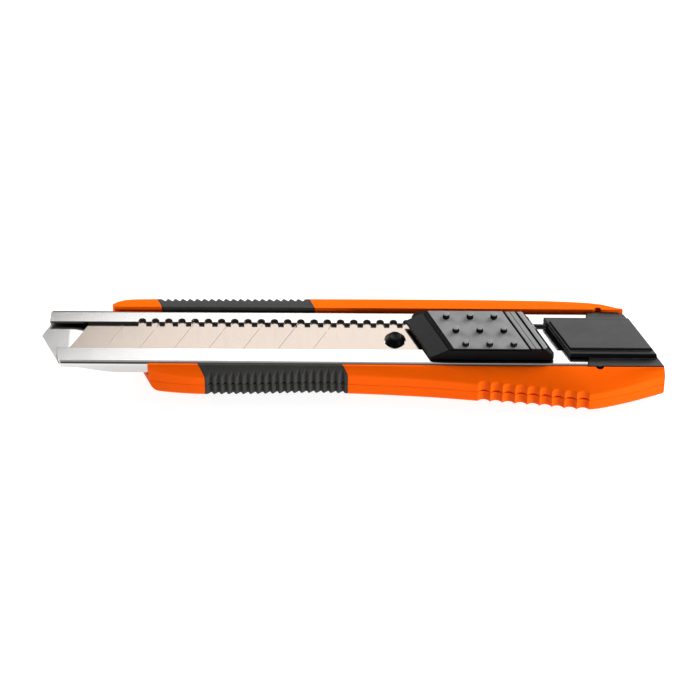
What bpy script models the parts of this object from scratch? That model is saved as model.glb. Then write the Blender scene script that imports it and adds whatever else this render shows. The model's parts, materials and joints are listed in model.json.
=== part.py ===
"""Snap-off knife for 18 mm blades.

A folded steel channel guides the blade. It is riveted to the upper frame of a two-part handle, whose
lower part is a screwed back cover. Rubber grips wrap both. The carriage (slider base, blade carrier,
stud and blade) runs in the channel's slot and locks in its notches with a sprung pawl, which the thumb
pad draws back. The end cap slides out of the channel's rear end.

X runs along the knife, with the nose at -X. Y runs across it, and the slot's notches are on its +Y
flange. Z is up, and the back cover lies on Z = 0. Every object stands on the channel's centre line.
"""

import math

import bmesh
import bpy

MM = 0.001
GAP = 0.3 * MM

# Heights above the underside.
COVER_TOP = 4.8 * MM
FRAME_BOTTOM = COVER_TOP + GAP
FLOOR_TOP = 6.2 * MM
CHANNEL_TOP = 11.0 * MM
FAR_RIM_TOP = CHANNEL_TOP + 0.9 * MM

# The channel's centre line lies beside the middle of the handle, which is wider on its near side.
CHANNEL_Y = 1.65 * MM

# Steel channel.
CHANNEL_HALF = 10.3 * MM
CHANNEL_DEPTH = 4.5 * MM
SHEET = 0.8 * MM
BEND = 1.0 * MM
CHANNEL_REAR = 66.2 * MM
NOSE_DEPTH = 2.5 * MM
NOSE_RAMP = (-80.0 * MM, -66.0 * MM)
NEAR_FLANGE = -4.5 * MM
FAR_FLANGE = 5.6 * MM
NOTCH_FIRST = -59.7 * MM
NOTCH_PITCH = 3.75 * MM
NOTCH_COUNT = 29
NOTCH_RADIUS = 1.1 * MM
NOTCH_CENTRE = 5.9 * MM
CHANNEL_BOTTOM = CHANNEL_TOP - CHANNEL_DEPTH
CHANNEL_FLOOR = CHANNEL_BOTTOM + SHEET
FLANGE_BOTTOM = CHANNEL_TOP - SHEET
POCKET_HALF = CHANNEL_HALF + GAP
# Plans, in millimetres, of what is cut off at the nose and off the near flange there.
NOSE_PLAN = ((-95, -13), (-80.6, -13), (-88.0, 1.6), (-85.9, 5.6), (-85.8, 8.8), (-85.2, 9.9), (-84.2, 10.6),
             (-84.2, 13), (-95, 13))
LIP_PLAN = ((-95, -3.5), (-83.9, -3.5), (-82.2, -11.2), (-95, -11.2))
RIVET_SEAT = (1.3 * MM, 2.0 * MM)

# Blade.
BLADE_TIP = -82.8 * MM
BLADE_LENGTH = 100.0 * MM
BLADE_HALF = 9.0 * MM
BLADE_TOP = FLANGE_BOTTOM - 0.2 * MM
BLADE_THICK = 0.5 * MM
BLADE_ANGLE = math.radians(61)
BLADE_GRIND = 1.6 * MM
SEGMENT = 9.8 * MM
SEGMENT_COUNT = 8
SCORE_HALF = 0.15 * MM
SCORE_DEPTH = 0.12 * MM
BLADE_HOLE = 3.1 * MM
STUD_X = 12.0 * MM
BLADE_BOTTOM = BLADE_TOP - BLADE_THICK

# Carriage.
SLIDER_NEAR = -8.65 * MM
SLIDER_FAR = 5.9 * MM
SLIDER_LEAN = 0.51
SLIDER_BOTTOM = CHANNEL_TOP + GAP
SLIDER_TOP = CHANNEL_TOP + 5.0 * MM
PAD_BOTTOM = CHANNEL_TOP + 4.4 * MM
PAD_SEAT = PAD_BOTTOM - GAP
SKIRT_TOP = CHANNEL_TOP + 1.8 * MM
SLIDER_FLOOR = SLIDER_BOTTOM + 1.0 * MM
CARRIER_FRONT = 6.0 * MM
CARRIER_REAR = 60.0 * MM
CARRIER_TOP = FLANGE_BOTTOM - GAP
CARRIER_BOTTOM = CHANNEL_FLOOR + GAP
CARRIER_HALF = CHANNEL_HALF - SHEET - GAP
NECK = (34.8 * MM, 48.5 * MM, -4.1 * MM, 5.0 * MM)
# The slider's side: foot, top of the front slope, front and rear of the ridge, rear face and its height.
SLIDER_FOOT = 17.7 * MM
SLOPE_END = 22.8 * MM
RIDGE = (45.8 * MM, 50.7 * MM)
SLIDER_REAR = 52.7 * MM
REAR_HEIGHT = 13.6 * MM
SLIDER_EDGE = 0.35 * MM
# Skirt along the far side: centre and radius of its round front, and its slanted rear.
SKIRT_FRONT = (19.2 * MM, 6.1 * MM, 2.6 * MM)
SKIRT_REAR = ((48.3, 8.7), (50.0, 5.0), (17.2, 5.0))
# Grooves behind the pad: start, end and depth in millimetres.
GROOVES = ((48.65, 49.35, 0.8), (47.1, 47.3, 0.3))

# Lock pawl, thumb pad and their springs.
PAWL_X = NOTCH_FIRST + 24 * NOTCH_PITCH
PAWL_BOTTOM = SLIDER_FLOOR + 0.2 * MM
PAWL_TOP = PAWL_BOTTOM + 1.3 * MM
PAWL_HALF = 3.5 * MM
PAWL_NEAR = -3.4 * MM
PAWL_FAR = 3.6 * MM
NOSE_HALF = 0.85 * MM
PAD_TRAVEL = 1.2 * MM
PAD_FRONT = 23.0 * MM
PAD_REAR = 45.2 * MM
PAD_CHAMFER = 1.6 * MM
STUD_FIRST = (26.4 * MM, 3.4 * MM)
STUD_PITCH = (6.74 * MM, -5.3 * MM)
STUD_SHIFT = 2.7 * MM
STUD_HEIGHT = 1.5 * MM
PAWL_TRAVEL = 1.5 * MM
FIN_LENGTH = 1.8 * MM
FIN_THICK = 0.9 * MM
LUG_X = (41.9 * MM, 43.1 * MM)
LUG_Y = -1.0 * MM
LUG_HALF = 1.3 * MM
SLIDER_SCREWS = ((38.0 * MM, 3.3 * MM), (45.2 * MM, -2.9 * MM))

# Handle outline, as distances from the channel's centre line along X. The near side is -Y.
NEAR_EDGE = ((-57.2, 11.4), (-51.5, 12.3), (-43.0, 12.9), (-29.0, 12.8), (-8.0, 12.2), (19.0, 13.4),
             (39.0, 15.2), (53.0, 16.6), (66.2, 17.95), (76.3, 15.6), (88.0, 11.4))
FAR_EDGE = ((-68.2, 11.2), (-67.6, 12.5), (-66.0, 13.5), (-61.0, 14.1), (-20.0, 14.5), (20.0, 14.65),
            (53.0, 14.4), (66.0, 13.8), (71.0, 13.1), (73.0, 12.4), (75.0, 11.5), (76.5, 11.2))
# Slanted ends of the handle, from corner to corner.
FRONT_LINE = ((-57.2 * MM, -11.4 * MM), (-68.2 * MM, 11.2 * MM))
REAR_LINE = ((76.5 * MM, 11.3 * MM), (88.0 * MM, -11.4 * MM))
HANDLE_STATIONS = (-71, -68.2, -67.6, -66.9, -66, -64.5, -61, *range(-57, 76, 3), 78, 81, 84, 88, 91)
# How far the near bevel drops from the channel's edge to the handle's side.
CREASE_DROP = ((-57.2, 1.6), (-43.0, 3.2), (0.0, 2.4), (25.0, 2.8), (66.0, 3.7), (88.0, 2.7))
RIM_RADIUS = 1.0 * MM
UNDERSIDE_RADIUS = 2.0 * MM
FRONT_RADIUS = 4.5 * MM

# Rubber grips: ends on the channel's edge and the lean of those ends.
NEAR_GRIP = (-43.5 * MM, -2.8 * MM, 0.9)
FAR_GRIP = (-54.3 * MM, -10.8 * MM, -0.45)
GRIP_SEAT = 9.6 * MM
NEAR_CORE = 11.0 * MM
FAR_CORE = 12.2 * MM
BACK_SKIN = 1.3 * MM
RIB_PITCH = 2.06 * MM
RIB_DEPTH = 0.55 * MM
NEAR_RIBS = (-41.2 * MM, 19)
FAR_RIBS = (-54.9 * MM, 20)

# Flutes for the fingers on the near side.
FLUTE_FIRST = 37.2 * MM
FLUTE_PITCH = 3.465 * MM
FLUTE_COUNT = 9
FLUTE_RADIUS = 2.28 * MM
FLUTE_DEPTH = 0.8 * MM

# Back cover and fasteners.
COVER_FLOOR = 2.8 * MM
CELL_FIRST = -52.0 * MM
CELL_PITCH = 14.0 * MM
CELL_LENGTH = 12.8 * MM
CELL_COUNT = 9
CELL_HALF = 8.5 * MM
COVER_SCREWS = ((-48.0 * MM, -6.0 * MM), (10.4 * MM, 0.0), (38.4 * MM, 0.0), (66.4 * MM, 0.0))
RIVETS = ((-42.0 * MM, 3.0 * MM), (52.4 * MM, 0.0))

# End cap.
CAP_FRONT = CHANNEL_REAR + GAP
CAP_LEAN = 0.533
CATCH_X = 69.6 * MM
# Side profiles of the cap's three steps, in millimetres.
CAP_BODY = ((55, 6.5), (82.5, 6.5), (82.2, 11.0), (55, 11.0))
CAP_LEDGE = ((57.4, 10.6), (82.1, 10.6), (81.6, 12.9), (57.5, 12.9))
CAP_CROWN = ((57.8, 12.4), (81.5, 12.4), (81.0, 13.85), (58.0, 13.85))
CAP_EDGE = 0.25 * MM
TONGUE = (62 * MM, 67.5 * MM)

ORANGE = (0.95, 0.13, 0.005)
BLACK = (0.012, 0.012, 0.013)
RUBBER = (0.035, 0.037, 0.036)
STEEL = (0.78, 0.77, 0.75)


def clear_scene():
    for thing in list(bpy.data.objects):
        bpy.data.objects.remove(thing)


def material(name, colour, roughness, metallic):
    made = bpy.data.materials.new(name)
    made.use_nodes = True
    shader = made.node_tree.nodes["Principled BSDF"]
    shader.inputs["Base Color"].default_value = (*colour, 1)
    shader.inputs["Roughness"].default_value = roughness
    shader.inputs["Metallic"].default_value = metallic
    return made


def in_metres(points):
    return [(x * MM, y * MM) for x, y in points]


def arc(x, y, radius, start, end, steps):
    """Points on a circle from angle start to angle end, in degrees."""
    angles = [math.radians(start + (end - start) * i / steps) for i in range(steps + 1)]
    return [(x + radius * math.cos(a), y + radius * math.sin(a)) for a in angles]


def loft(name, rings):
    """A closed solid through rings of points, with flat ends."""
    mesh = bpy.data.meshes.new(name)
    shape = bmesh.new()
    made = [[shape.verts.new(point) for point in ring] for ring in rings]
    for low, high in zip(made, made[1:]):
        for i in range(len(low)):
            shape.faces.new((low[i - 1], low[i], high[i], high[i - 1]))
    shape.faces.new(made[0])
    shape.faces.new(made[-1])
    bmesh.ops.recalc_face_normals(shape, faces=shape.faces)
    shape.to_mesh(mesh)
    shape.free()
    mesh.shade_smooth()
    mesh.set_sharp_from_angle(angle=math.radians(35))
    thing = bpy.data.objects.new(name, mesh)
    thing.location = (0, CHANNEL_Y, 0)
    bpy.context.collection.objects.link(thing)
    return thing


def join(name, pieces):
    """One object holding several solids that don't touch, for use as a cutter."""
    shape = bmesh.new()
    for piece in pieces:
        shape.from_mesh(piece.data)
    mesh = bpy.data.meshes.new(name)
    shape.to_mesh(mesh)
    shape.free()
    for piece in pieces:
        bpy.data.objects.remove(piece)
    thing = bpy.data.objects.new(name, mesh)
    thing.location = (0, CHANNEL_Y, 0)
    bpy.context.collection.objects.link(thing)
    return thing


def prism(name, outline, low, high):
    """A plan outline of (x, y) points, standing from low to high."""
    return loft(name, [[(x, y, z) for x, y in outline] for z in (low, high)])


def block(name, x0, x1, y0, y1, low, high):
    return prism(name, [(x0, y0), (x1, y0), (x1, y1), (x0, y1)], low, high)


def leaning(name, profile, y0, y1, lean):
    """A side profile of (x, z) points, drawn at y = 0 and carried across with a lean along X."""
    return loft(name, [[(x - lean * y, y, z) for x, z in profile] for y in (y0, y1)])


def turned(name, profile, x, y, steps):
    """A solid of revolution about a vertical axis at (x, y), from (radius, z) points."""
    rings = []
    for radius, z in profile:
        rings.append([(x + px, y + py, z) for px, py in arc(0, 0, radius, 0, 360, steps)[:-1]])
    return loft(name, rings)


def combine(target, tool, operation="DIFFERENCE"):
    """Cut, join or crop the target with a tool that isn't part of the knife."""
    tool.hide_render = True
    tool.display_type = "WIRE"
    step = target.modifiers.new(tool.name, "BOOLEAN")
    step.operation = operation
    step.solver = "EXACT"
    step.object = tool


def soften(target, width, segments=2):
    bevel = target.modifiers.new("soft_edges", "BEVEL")
    bevel.width = width
    bevel.segments = segments
    bevel.limit_method = "ANGLE"
    bevel.angle_limit = math.radians(40)


def through(points, x):
    """The height at x of a smooth curve through points, all in millimetres."""
    i = min(sum(x >= point[0] for point in points[1:-1]), len(points) - 2)
    slopes = []
    for j in (i, i + 1):
        before, after = points[max(j - 1, 0)], points[min(j + 1, len(points) - 1)]
        slopes.append((after[1] - before[1]) / (after[0] - before[0]))
    (x0, y0), (x1, y1) = points[i], points[i + 1]
    span = x1 - x0
    t = (x - x0) / span
    rise = y0 * (2 * t**3 - 3 * t**2 + 1) + y1 * (3 * t**2 - 2 * t**3)
    return rise + span * (slopes[0] * (t**3 - 2 * t**2 + t) + slopes[1] * (t**3 - t**2))


def near_edge(x):
    clamped = min(max(x / MM, NEAR_EDGE[0][0]), NEAR_EDGE[-1][0])
    return -through(NEAR_EDGE, clamped) * MM


def far_edge(x):
    clamped = min(max(x / MM, FAR_EDGE[0][0]), FAR_EDGE[-1][0])
    return through(FAR_EDGE, clamped) * MM


def handle_solid(name, low, high, low_radius=0, high_radius=0, inset=0):
    """The handle's body from low to high, past both ends, with rounded lower or upper edges."""
    rings = []
    for x in HANDLE_STATIONS:
        near, far = near_edge(x * MM) + inset, far_edge(x * MM) - inset
        ring = corner_arc(near + low_radius, low + low_radius, low_radius, 180)
        ring += corner_arc(far - low_radius, low + low_radius, low_radius, 270)
        ring += corner_arc(far - high_radius, high - high_radius, high_radius, 0)
        ring += corner_arc(near + high_radius, high - high_radius, high_radius, 90)
        rings.append([(x * MM, y, z) for y, z in ring])
    return loft(name, rings)


def corner_arc(y, z, radius, start):
    return arc(y, z, radius, start, start + 90, 3) if radius else [(y, z)]


def near_bevel():
    """What is cleared above the near side's bevel, which falls from the channel to the crease."""
    rings = []
    inner = -POCKET_HALF - 0.2 * MM
    for x in [station * MM for station in HANDLE_STATIONS]:
        outer = near_edge(x)
        drop = through(CREASE_DROP, min(max(x / MM, CREASE_DROP[0][0]), CREASE_DROP[-1][0])) * MM
        middle = (inner + 0.6 * (outer - inner), CHANNEL_TOP - 0.48 * drop)
        crease = (outer, CHANNEL_TOP - drop)
        slope = (crease[1] - middle[1]) / (crease[0] - middle[0])
        past = (outer - 1.5 * MM, crease[1] - slope * 1.5 * MM)
        ring = [(inner, CHANNEL_TOP), middle, crease, past, (past[0], 20 * MM), (inner, 20 * MM)]
        rings.append([(x, y, z) for y, z in ring])
    return loft("near_bevel_cutter", rings)


def upper_blank(name, tools):
    """The handle above the split, with its pocket, near bevel and low near edge."""
    blank = handle_solid(name, FRAME_BOTTOM, FAR_RIM_TOP, high_radius=RIM_RADIUS)
    for step in ("front_end", "rear_end", "low_side", "near_bevel", "pocket"):
        combine(blank, tools[step])
    return blank


def lower_blank(name, tools):
    """The handle below the split, with a rounded underside and a rising front."""
    blank = handle_solid(name, 0, COVER_TOP, low_radius=UNDERSIDE_RADIUS)
    for step in ("front_end", "rear_end"):
        combine(blank, tools[step])
    return blank


def end_cutter(name, first, last, radius):
    """What is cleared past a slanted end of the handle, and below its rounded lower edge."""
    length = math.dist(first, last)
    along = ((last[0] - first[0]) / length, (last[1] - first[1]) / length)
    across = (along[1], -along[0])
    curve = arc(radius, radius, radius, 270, 180, 6)
    profile = [(-20 * MM, -2 * MM), (radius, -2 * MM), *curve, (0, 20 * MM), (-20 * MM, 20 * MM)]
    rings = []
    for reach in (-10 * MM, length + 10 * MM):
        corner = (first[0] + along[0] * reach, first[1] + along[1] * reach)
        rings.append([(corner[0] + across[0] * s, corner[1] + across[1] * s, z) for s, z in profile])
    return loft(name, rings)


def side_band(name, sign, grip, core, clear):
    """The space of a grip on one side of the frame: a skin outside the core and a cap over it."""
    start, end, lean = grip
    seat = GRIP_SEAT + GAP - clear
    core_face = core + GAP - clear
    inner = POCKET_HALF - 2 * clear
    low = FRAME_BOTTOM - 2 * clear
    ring = [(inner, 20 * MM), (inner, seat), (core_face, seat), (core_face, low), (22 * MM, low),
            (22 * MM, 20 * MM)]
    rings = []
    for x in (start - clear, end + clear):
        rings.append([(x + lean * (y - POCKET_HALF), sign * y, z) for y, z in ring])
    return loft(name, rings)


def back_band(name, clear):
    """The space of the grip under the cover: a slanted band outside the cover's core."""
    near_x = [x + NEAR_GRIP[2] * (-near_edge(x) - POCKET_HALF) for x in NEAR_GRIP[:2]]
    far_x = [x + FAR_GRIP[2] * (far_edge(x) - POCKET_HALF) for x in FAR_GRIP[:2]]
    plan = []
    for side, reach in ((0, -22 * MM), (1, -22 * MM), (1, 22 * MM), (0, 22 * MM)):
        low, high = near_edge(near_x[side]), far_edge(far_x[side])
        slope = (far_x[side] - near_x[side]) / (high - low)
        plan.append((near_x[side] + slope * (reach - low) + (clear if side else -clear), reach))
    band = prism(name, plan, -2 * MM, COVER_TOP + 2 * MM)
    skin = BACK_SKIN + clear
    combine(band, handle_solid(name + "_core", skin, COVER_TOP + 4 * MM, inset=skin))
    return band


def ribs(name, edge, sign, first, count):
    """Sawtooth ribs along one side: a long face that sinks towards the rear and a short one."""
    pieces = []
    for i in range(count):
        x = first + i * RIB_PITCH
        plan = [(x + 0.45 * MM, sign * 24 * MM), (x + 0.45 * MM, edge(x + 0.45 * MM))]
        plan.append((x + 1.75 * MM, edge(x + 1.75 * MM) - sign * RIB_DEPTH))
        plan.append((x + RIB_PITCH - 0.05 * MM, edge(x + RIB_PITCH)))
        plan.append((x + RIB_PITCH - 0.05 * MM, sign * 24 * MM))
        pieces.append(prism(name, plan, -2 * MM, 16 * MM))
    return join(name, pieces)


def flutes():
    pieces = []
    for i in range(FLUTE_COUNT):
        x = FLUTE_FIRST + i * FLUTE_PITCH
        y = near_edge(x) - FLUTE_RADIUS + FLUTE_DEPTH
        plan = arc(x, y, FLUTE_RADIUS, 40, 140, 8)
        plan += [(plan[-1][0], y - 3 * MM), (plan[0][0], y - 3 * MM)]
        pieces.append(prism("flute", plan, -2 * MM, 14 * MM))
    return pieces


def screw_mesh(name, head_radius, shank_radius, seat, tip, head_height):
    """A pan-head screw along Z, its head below the seat, with a cross recess."""
    sense = 1 if tip > seat else -1
    top = seat - sense * head_height
    profile = [(head_radius * 0.8, top), (head_radius, top + sense * 0.3 * MM), (head_radius, seat)]
    profile += [(shank_radius, seat), (shank_radius, tip - sense * 0.4 * MM), (shank_radius * 0.5, tip)]
    screw = turned(name, profile, 0, 0, 16)
    arm, width = head_radius * 0.6, head_radius * 0.16
    cross = []
    for turn in range(4):
        c, s = math.cos(turn * math.pi / 2), math.sin(turn * math.pi / 2)
        for x, y in ((width, -width), (arm, -width), (arm, width)):
            cross.append((x * c - y * s, x * s + y * c))
    ends = sorted((top - sense * MM, top + sense * 0.6 * head_height))
    combine(screw, prism(name + "_recess", cross, *ends))
    evaluated = screw.evaluated_get(bpy.context.evaluated_depsgraph_get())
    mesh = bpy.data.meshes.new_from_object(evaluated)
    bpy.data.objects.remove(screw)
    bpy.data.objects.remove(bpy.data.objects[name + "_recess"])
    return mesh


def fasteners(name, mesh, places, finish):
    mesh.materials.clear()
    mesh.materials.append(finish)
    for i, (x, y) in enumerate(places):
        thing = bpy.data.objects.new(f"{name}_{i + 1}", mesh)
        thing.location = (x, CHANNEL_Y + y, 0)
        bpy.context.collection.objects.link(thing)


def blade_channel():
    rings = []
    steps = 8
    ramp = [NOSE_RAMP[0] + (NOSE_RAMP[1] - NOSE_RAMP[0]) * i / steps for i in range(steps + 1)]
    for x in [-89 * MM, *ramp, CHANNEL_REAR]:
        t = min(max((x - NOSE_RAMP[0]) / (NOSE_RAMP[1] - NOSE_RAMP[0]), 0), 1)
        bottom = CHANNEL_TOP - NOSE_DEPTH - (CHANNEL_DEPTH - NOSE_DEPTH) * t * t * (3 - 2 * t)
        side = CHANNEL_HALF - BEND
        wall = CHANNEL_HALF - SHEET
        ring = arc(-side, CHANNEL_TOP - BEND, BEND, 90, 180, 4)
        ring += arc(-side, bottom + BEND, BEND, 180, 270, 4)
        ring += arc(side, bottom + BEND, BEND, 270, 360, 4)
        ring += arc(side, CHANNEL_TOP - BEND, BEND, 0, 90, 4)
        ring += [(FAR_FLANGE, CHANNEL_TOP), (FAR_FLANGE, FLANGE_BOTTOM), (wall, FLANGE_BOTTOM)]
        ring += [(wall, bottom + SHEET), (-wall, bottom + SHEET), (-wall, FLANGE_BOTTOM)]
        ring += [(NEAR_FLANGE, FLANGE_BOTTOM), (NEAR_FLANGE, CHANNEL_TOP)]
        rings.append([(x, y, z) for y, z in ring])
    channel = loft("blade_channel", rings)
    combine(channel, prism("nose_cutter", in_metres(NOSE_PLAN), 0, 20 * MM))
    combine(channel, prism("near_lip_cutter", in_metres(LIP_PLAN), FLANGE_BOTTOM - 0.4 * MM, 20 * MM))
    notches = []
    for i in range(NOTCH_COUNT):
        x = NOTCH_FIRST + i * NOTCH_PITCH
        plan = [(x - NOTCH_RADIUS, 4.6 * MM), (x + NOTCH_RADIUS, 4.6 * MM)]
        plan += arc(x, NOTCH_CENTRE, NOTCH_RADIUS, 0, 180, 8)
        notches.append(prism("notch", plan, FLANGE_BOTTOM - 0.3 * MM, 14 * MM))
    combine(channel, join("notch_cutters", notches))
    holes = []
    for x, y in RIVETS:
        narrow, wide = RIVET_SEAT
        cone = [(narrow, 5 * MM), (narrow, CHANNEL_BOTTOM), (wide, CHANNEL_FLOOR), (wide, 8 * MM)]
        holes.append(turned("rivet_hole", cone, x, y, 16))
    combine(channel, join("rivet_hole_cutters", holes))
    channel.data.materials.append(material("channel_steel", STEEL, 0.2, 1))


def handle_frame(tools):
    frame = upper_blank("handle_frame", tools)
    combine(frame, side_band("near_grip_space", -1, NEAR_GRIP, NEAR_CORE, GAP))
    combine(frame, side_band("far_grip_space", 1, FAR_GRIP, FAR_CORE, GAP))
    combine(frame, tools["flutes"])
    bosses, bores = [], []
    for x, y in COVER_SCREWS:
        bosses.append(turned("boss", [(2.3 * MM, COVER_FLOOR + GAP), (2.3 * MM, 5.5 * MM)], x, y, 20))
        bores.append(turned("bore", [(1.15 * MM, MM), (1.15 * MM, 5.7 * MM)], x, y, 16))
    for x, y in RIVETS:
        bores.append(turned("bore", [(1.3 * MM, MM), (1.3 * MM, 8 * MM)], x, y, 16))
    combine(frame, join("boss_tools", bosses), "UNION")
    combine(frame, join("frame_bore_cutters", bores))
    catches = []
    for sign in (-1, 1):
        ends = [(1.2 * MM, 9 * MM), (1.2 * MM, 14 * MM)]
        catches.append(turned("catch", ends, CATCH_X, sign * CHANNEL_HALF, 20))
    combine(frame, join("catch_cutters", catches))
    frame.data.materials.append(material("orange_frame", ORANGE, 0.38, 0))


def frame_grips(tools):
    sides = (("near", -1, NEAR_GRIP, NEAR_CORE), ("far", 1, FAR_GRIP, FAR_CORE))
    for word, sign, grip, core in sides:
        rubber = upper_blank(f"frame_grip_{word}", tools)
        combine(rubber, side_band(f"{word}_grip_shape", sign, grip, core, 0), "INTERSECT")
        combine(rubber, tools[f"{word}_ribs"])
        rubber.data.materials.append(material(f"{word}_rubber", RUBBER, 0.6, 0))


def back_cover(tools):
    cover = lower_blank("back_cover", tools)
    combine(cover, back_band("back_grip_space", GAP))
    combine(cover, tools["flutes"])
    cells = []
    for i in range(CELL_COUNT):
        x = CELL_FIRST + i * CELL_PITCH
        cells.append(block("cell", x, x + CELL_LENGTH, -CELL_HALF, CELL_HALF, COVER_FLOOR, 6 * MM))
    combine(cover, join("cell_cutters", cells))
    holes = []
    for x, y in COVER_SCREWS:
        step = 1.9 * MM
        profile = [(2.2 * MM, -MM), (2.2 * MM, step), (1.15 * MM, step), (1.15 * MM, 4 * MM)]
        holes.append(turned("hole", profile, x, y, 20))
    combine(cover, join("cover_hole_cutters", holes))
    cover.data.materials.append(material("orange_cover", ORANGE, 0.38, 0))


def back_grip(tools):
    rubber = lower_blank("back_grip", tools)
    combine(rubber, back_band("back_grip_shape", 0), "INTERSECT")
    combine(rubber, tools["near_ribs"])
    combine(rubber, tools["far_ribs"])
    rubber.data.materials.append(material("back_rubber", RUBBER, 0.6, 0))


def rivets():
    profile = [(1.6 * MM, 4.1 * MM), (1.6 * MM, COVER_TOP), (1.0 * MM, COVER_TOP), (1.0 * MM, CHANNEL_BOTTOM)]
    profile += [(1.7 * MM, CHANNEL_FLOOR - 0.05 * MM)]
    rivet = turned("rivet_shape", profile, 0, 0, 16)
    mesh = rivet.data
    bpy.data.objects.remove(rivet)
    fasteners("channel_rivet", mesh, RIVETS, material("rivet_steel", STEEL, 0.3, 1))


def blade():
    lean = 1 / math.tan(BLADE_ANGLE)
    ring = [(-BLADE_HALF, BLADE_BOTTOM + 0.2 * MM), (-BLADE_HALF + BLADE_GRIND, BLADE_BOTTOM)]
    ring += [(BLADE_HALF, BLADE_BOTTOM), (BLADE_HALF, BLADE_TOP), (-BLADE_HALF + BLADE_GRIND, BLADE_TOP)]
    ring += [(-BLADE_HALF, BLADE_TOP - 0.2 * MM)]
    rings = []
    for x in (BLADE_TIP, BLADE_TIP + BLADE_LENGTH):
        rings.append([(x + lean * (y + BLADE_HALF), y, z) for y, z in ring])
    steel = loft("blade", rings)
    scores = []
    for i in range(1, SEGMENT_COUNT):
        x = BLADE_TIP + i * SEGMENT
        sides = []
        for y in (-BLADE_HALF - MM, BLADE_HALF + MM):
            at = x + lean * (y + BLADE_HALF)
            above = BLADE_TOP + SCORE_DEPTH
            sides.append([(at - 2 * SCORE_HALF, y, above), (at, y, BLADE_TOP - SCORE_DEPTH),
                          (at + 2 * SCORE_HALF, y, above)])
        scores.append(loft("score", sides))
    combine(steel, join("score_cutters", scores))
    combine(steel, turned("blade_hole_cutter", [(BLADE_HOLE, 8 * MM), (BLADE_HOLE, 12 * MM)], STUD_X, 0, 24))
    steel.data.materials.append(material("blade_steel", STEEL, 0.25, 1))


def blade_carrier():
    plan = [(CARRIER_FRONT, -CARRIER_HALF), (CARRIER_REAR, -CARRIER_HALF)]
    plan += [(CARRIER_REAR, CARRIER_HALF), (CARRIER_FRONT, CARRIER_HALF)]
    carrier = prism("blade_carrier", plan, CARRIER_BOTTOM, CARRIER_TOP)
    lean = 1 / math.tan(BLADE_ANGLE)
    rear = BLADE_TIP + BLADE_LENGTH + 0.5 * MM
    seat = [(0, -12 * MM)]
    seat += [(rear + lean * (y + BLADE_HALF), y) for y in (-12 * MM, 12 * MM)]
    seat += [(0, 12 * MM)]
    combine(carrier, prism("blade_seat_cutter", seat, BLADE_BOTTOM - GAP, 14 * MM))
    holes = [turned("hole", [(1.5 * MM, 7.9 * MM), (1.5 * MM, 11 * MM)], STUD_X, 0, 16)]
    for x, y in SLIDER_SCREWS:
        holes.append(turned("hole", [(1.1 * MM, 7.9 * MM), (1.1 * MM, 11 * MM)], x, y, 16))
    combine(carrier, join("carrier_hole_cutters", holes))
    carrier.data.materials.append(material("carrier_steel", STEEL, 0.25, 1))


def blade_stud():
    base = BLADE_BOTTOM + 0.1 * MM
    profile = [(1.0 * MM, 8.2 * MM), (1.2 * MM, 8.5 * MM), (1.2 * MM, base), (2.8 * MM, base)]
    profile += [(2.85 * MM, BLADE_TOP + 0.2 * MM), (1.75 * MM, CHANNEL_TOP + 0.6 * MM)]
    profile += [(1.5 * MM, CHANNEL_TOP + 0.8 * MM)]
    stud = turned("blade_stud", profile, STUD_X, 0, 28)
    stud.data.materials.append(material("black_stud", BLACK, 0.3, 0))


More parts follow.
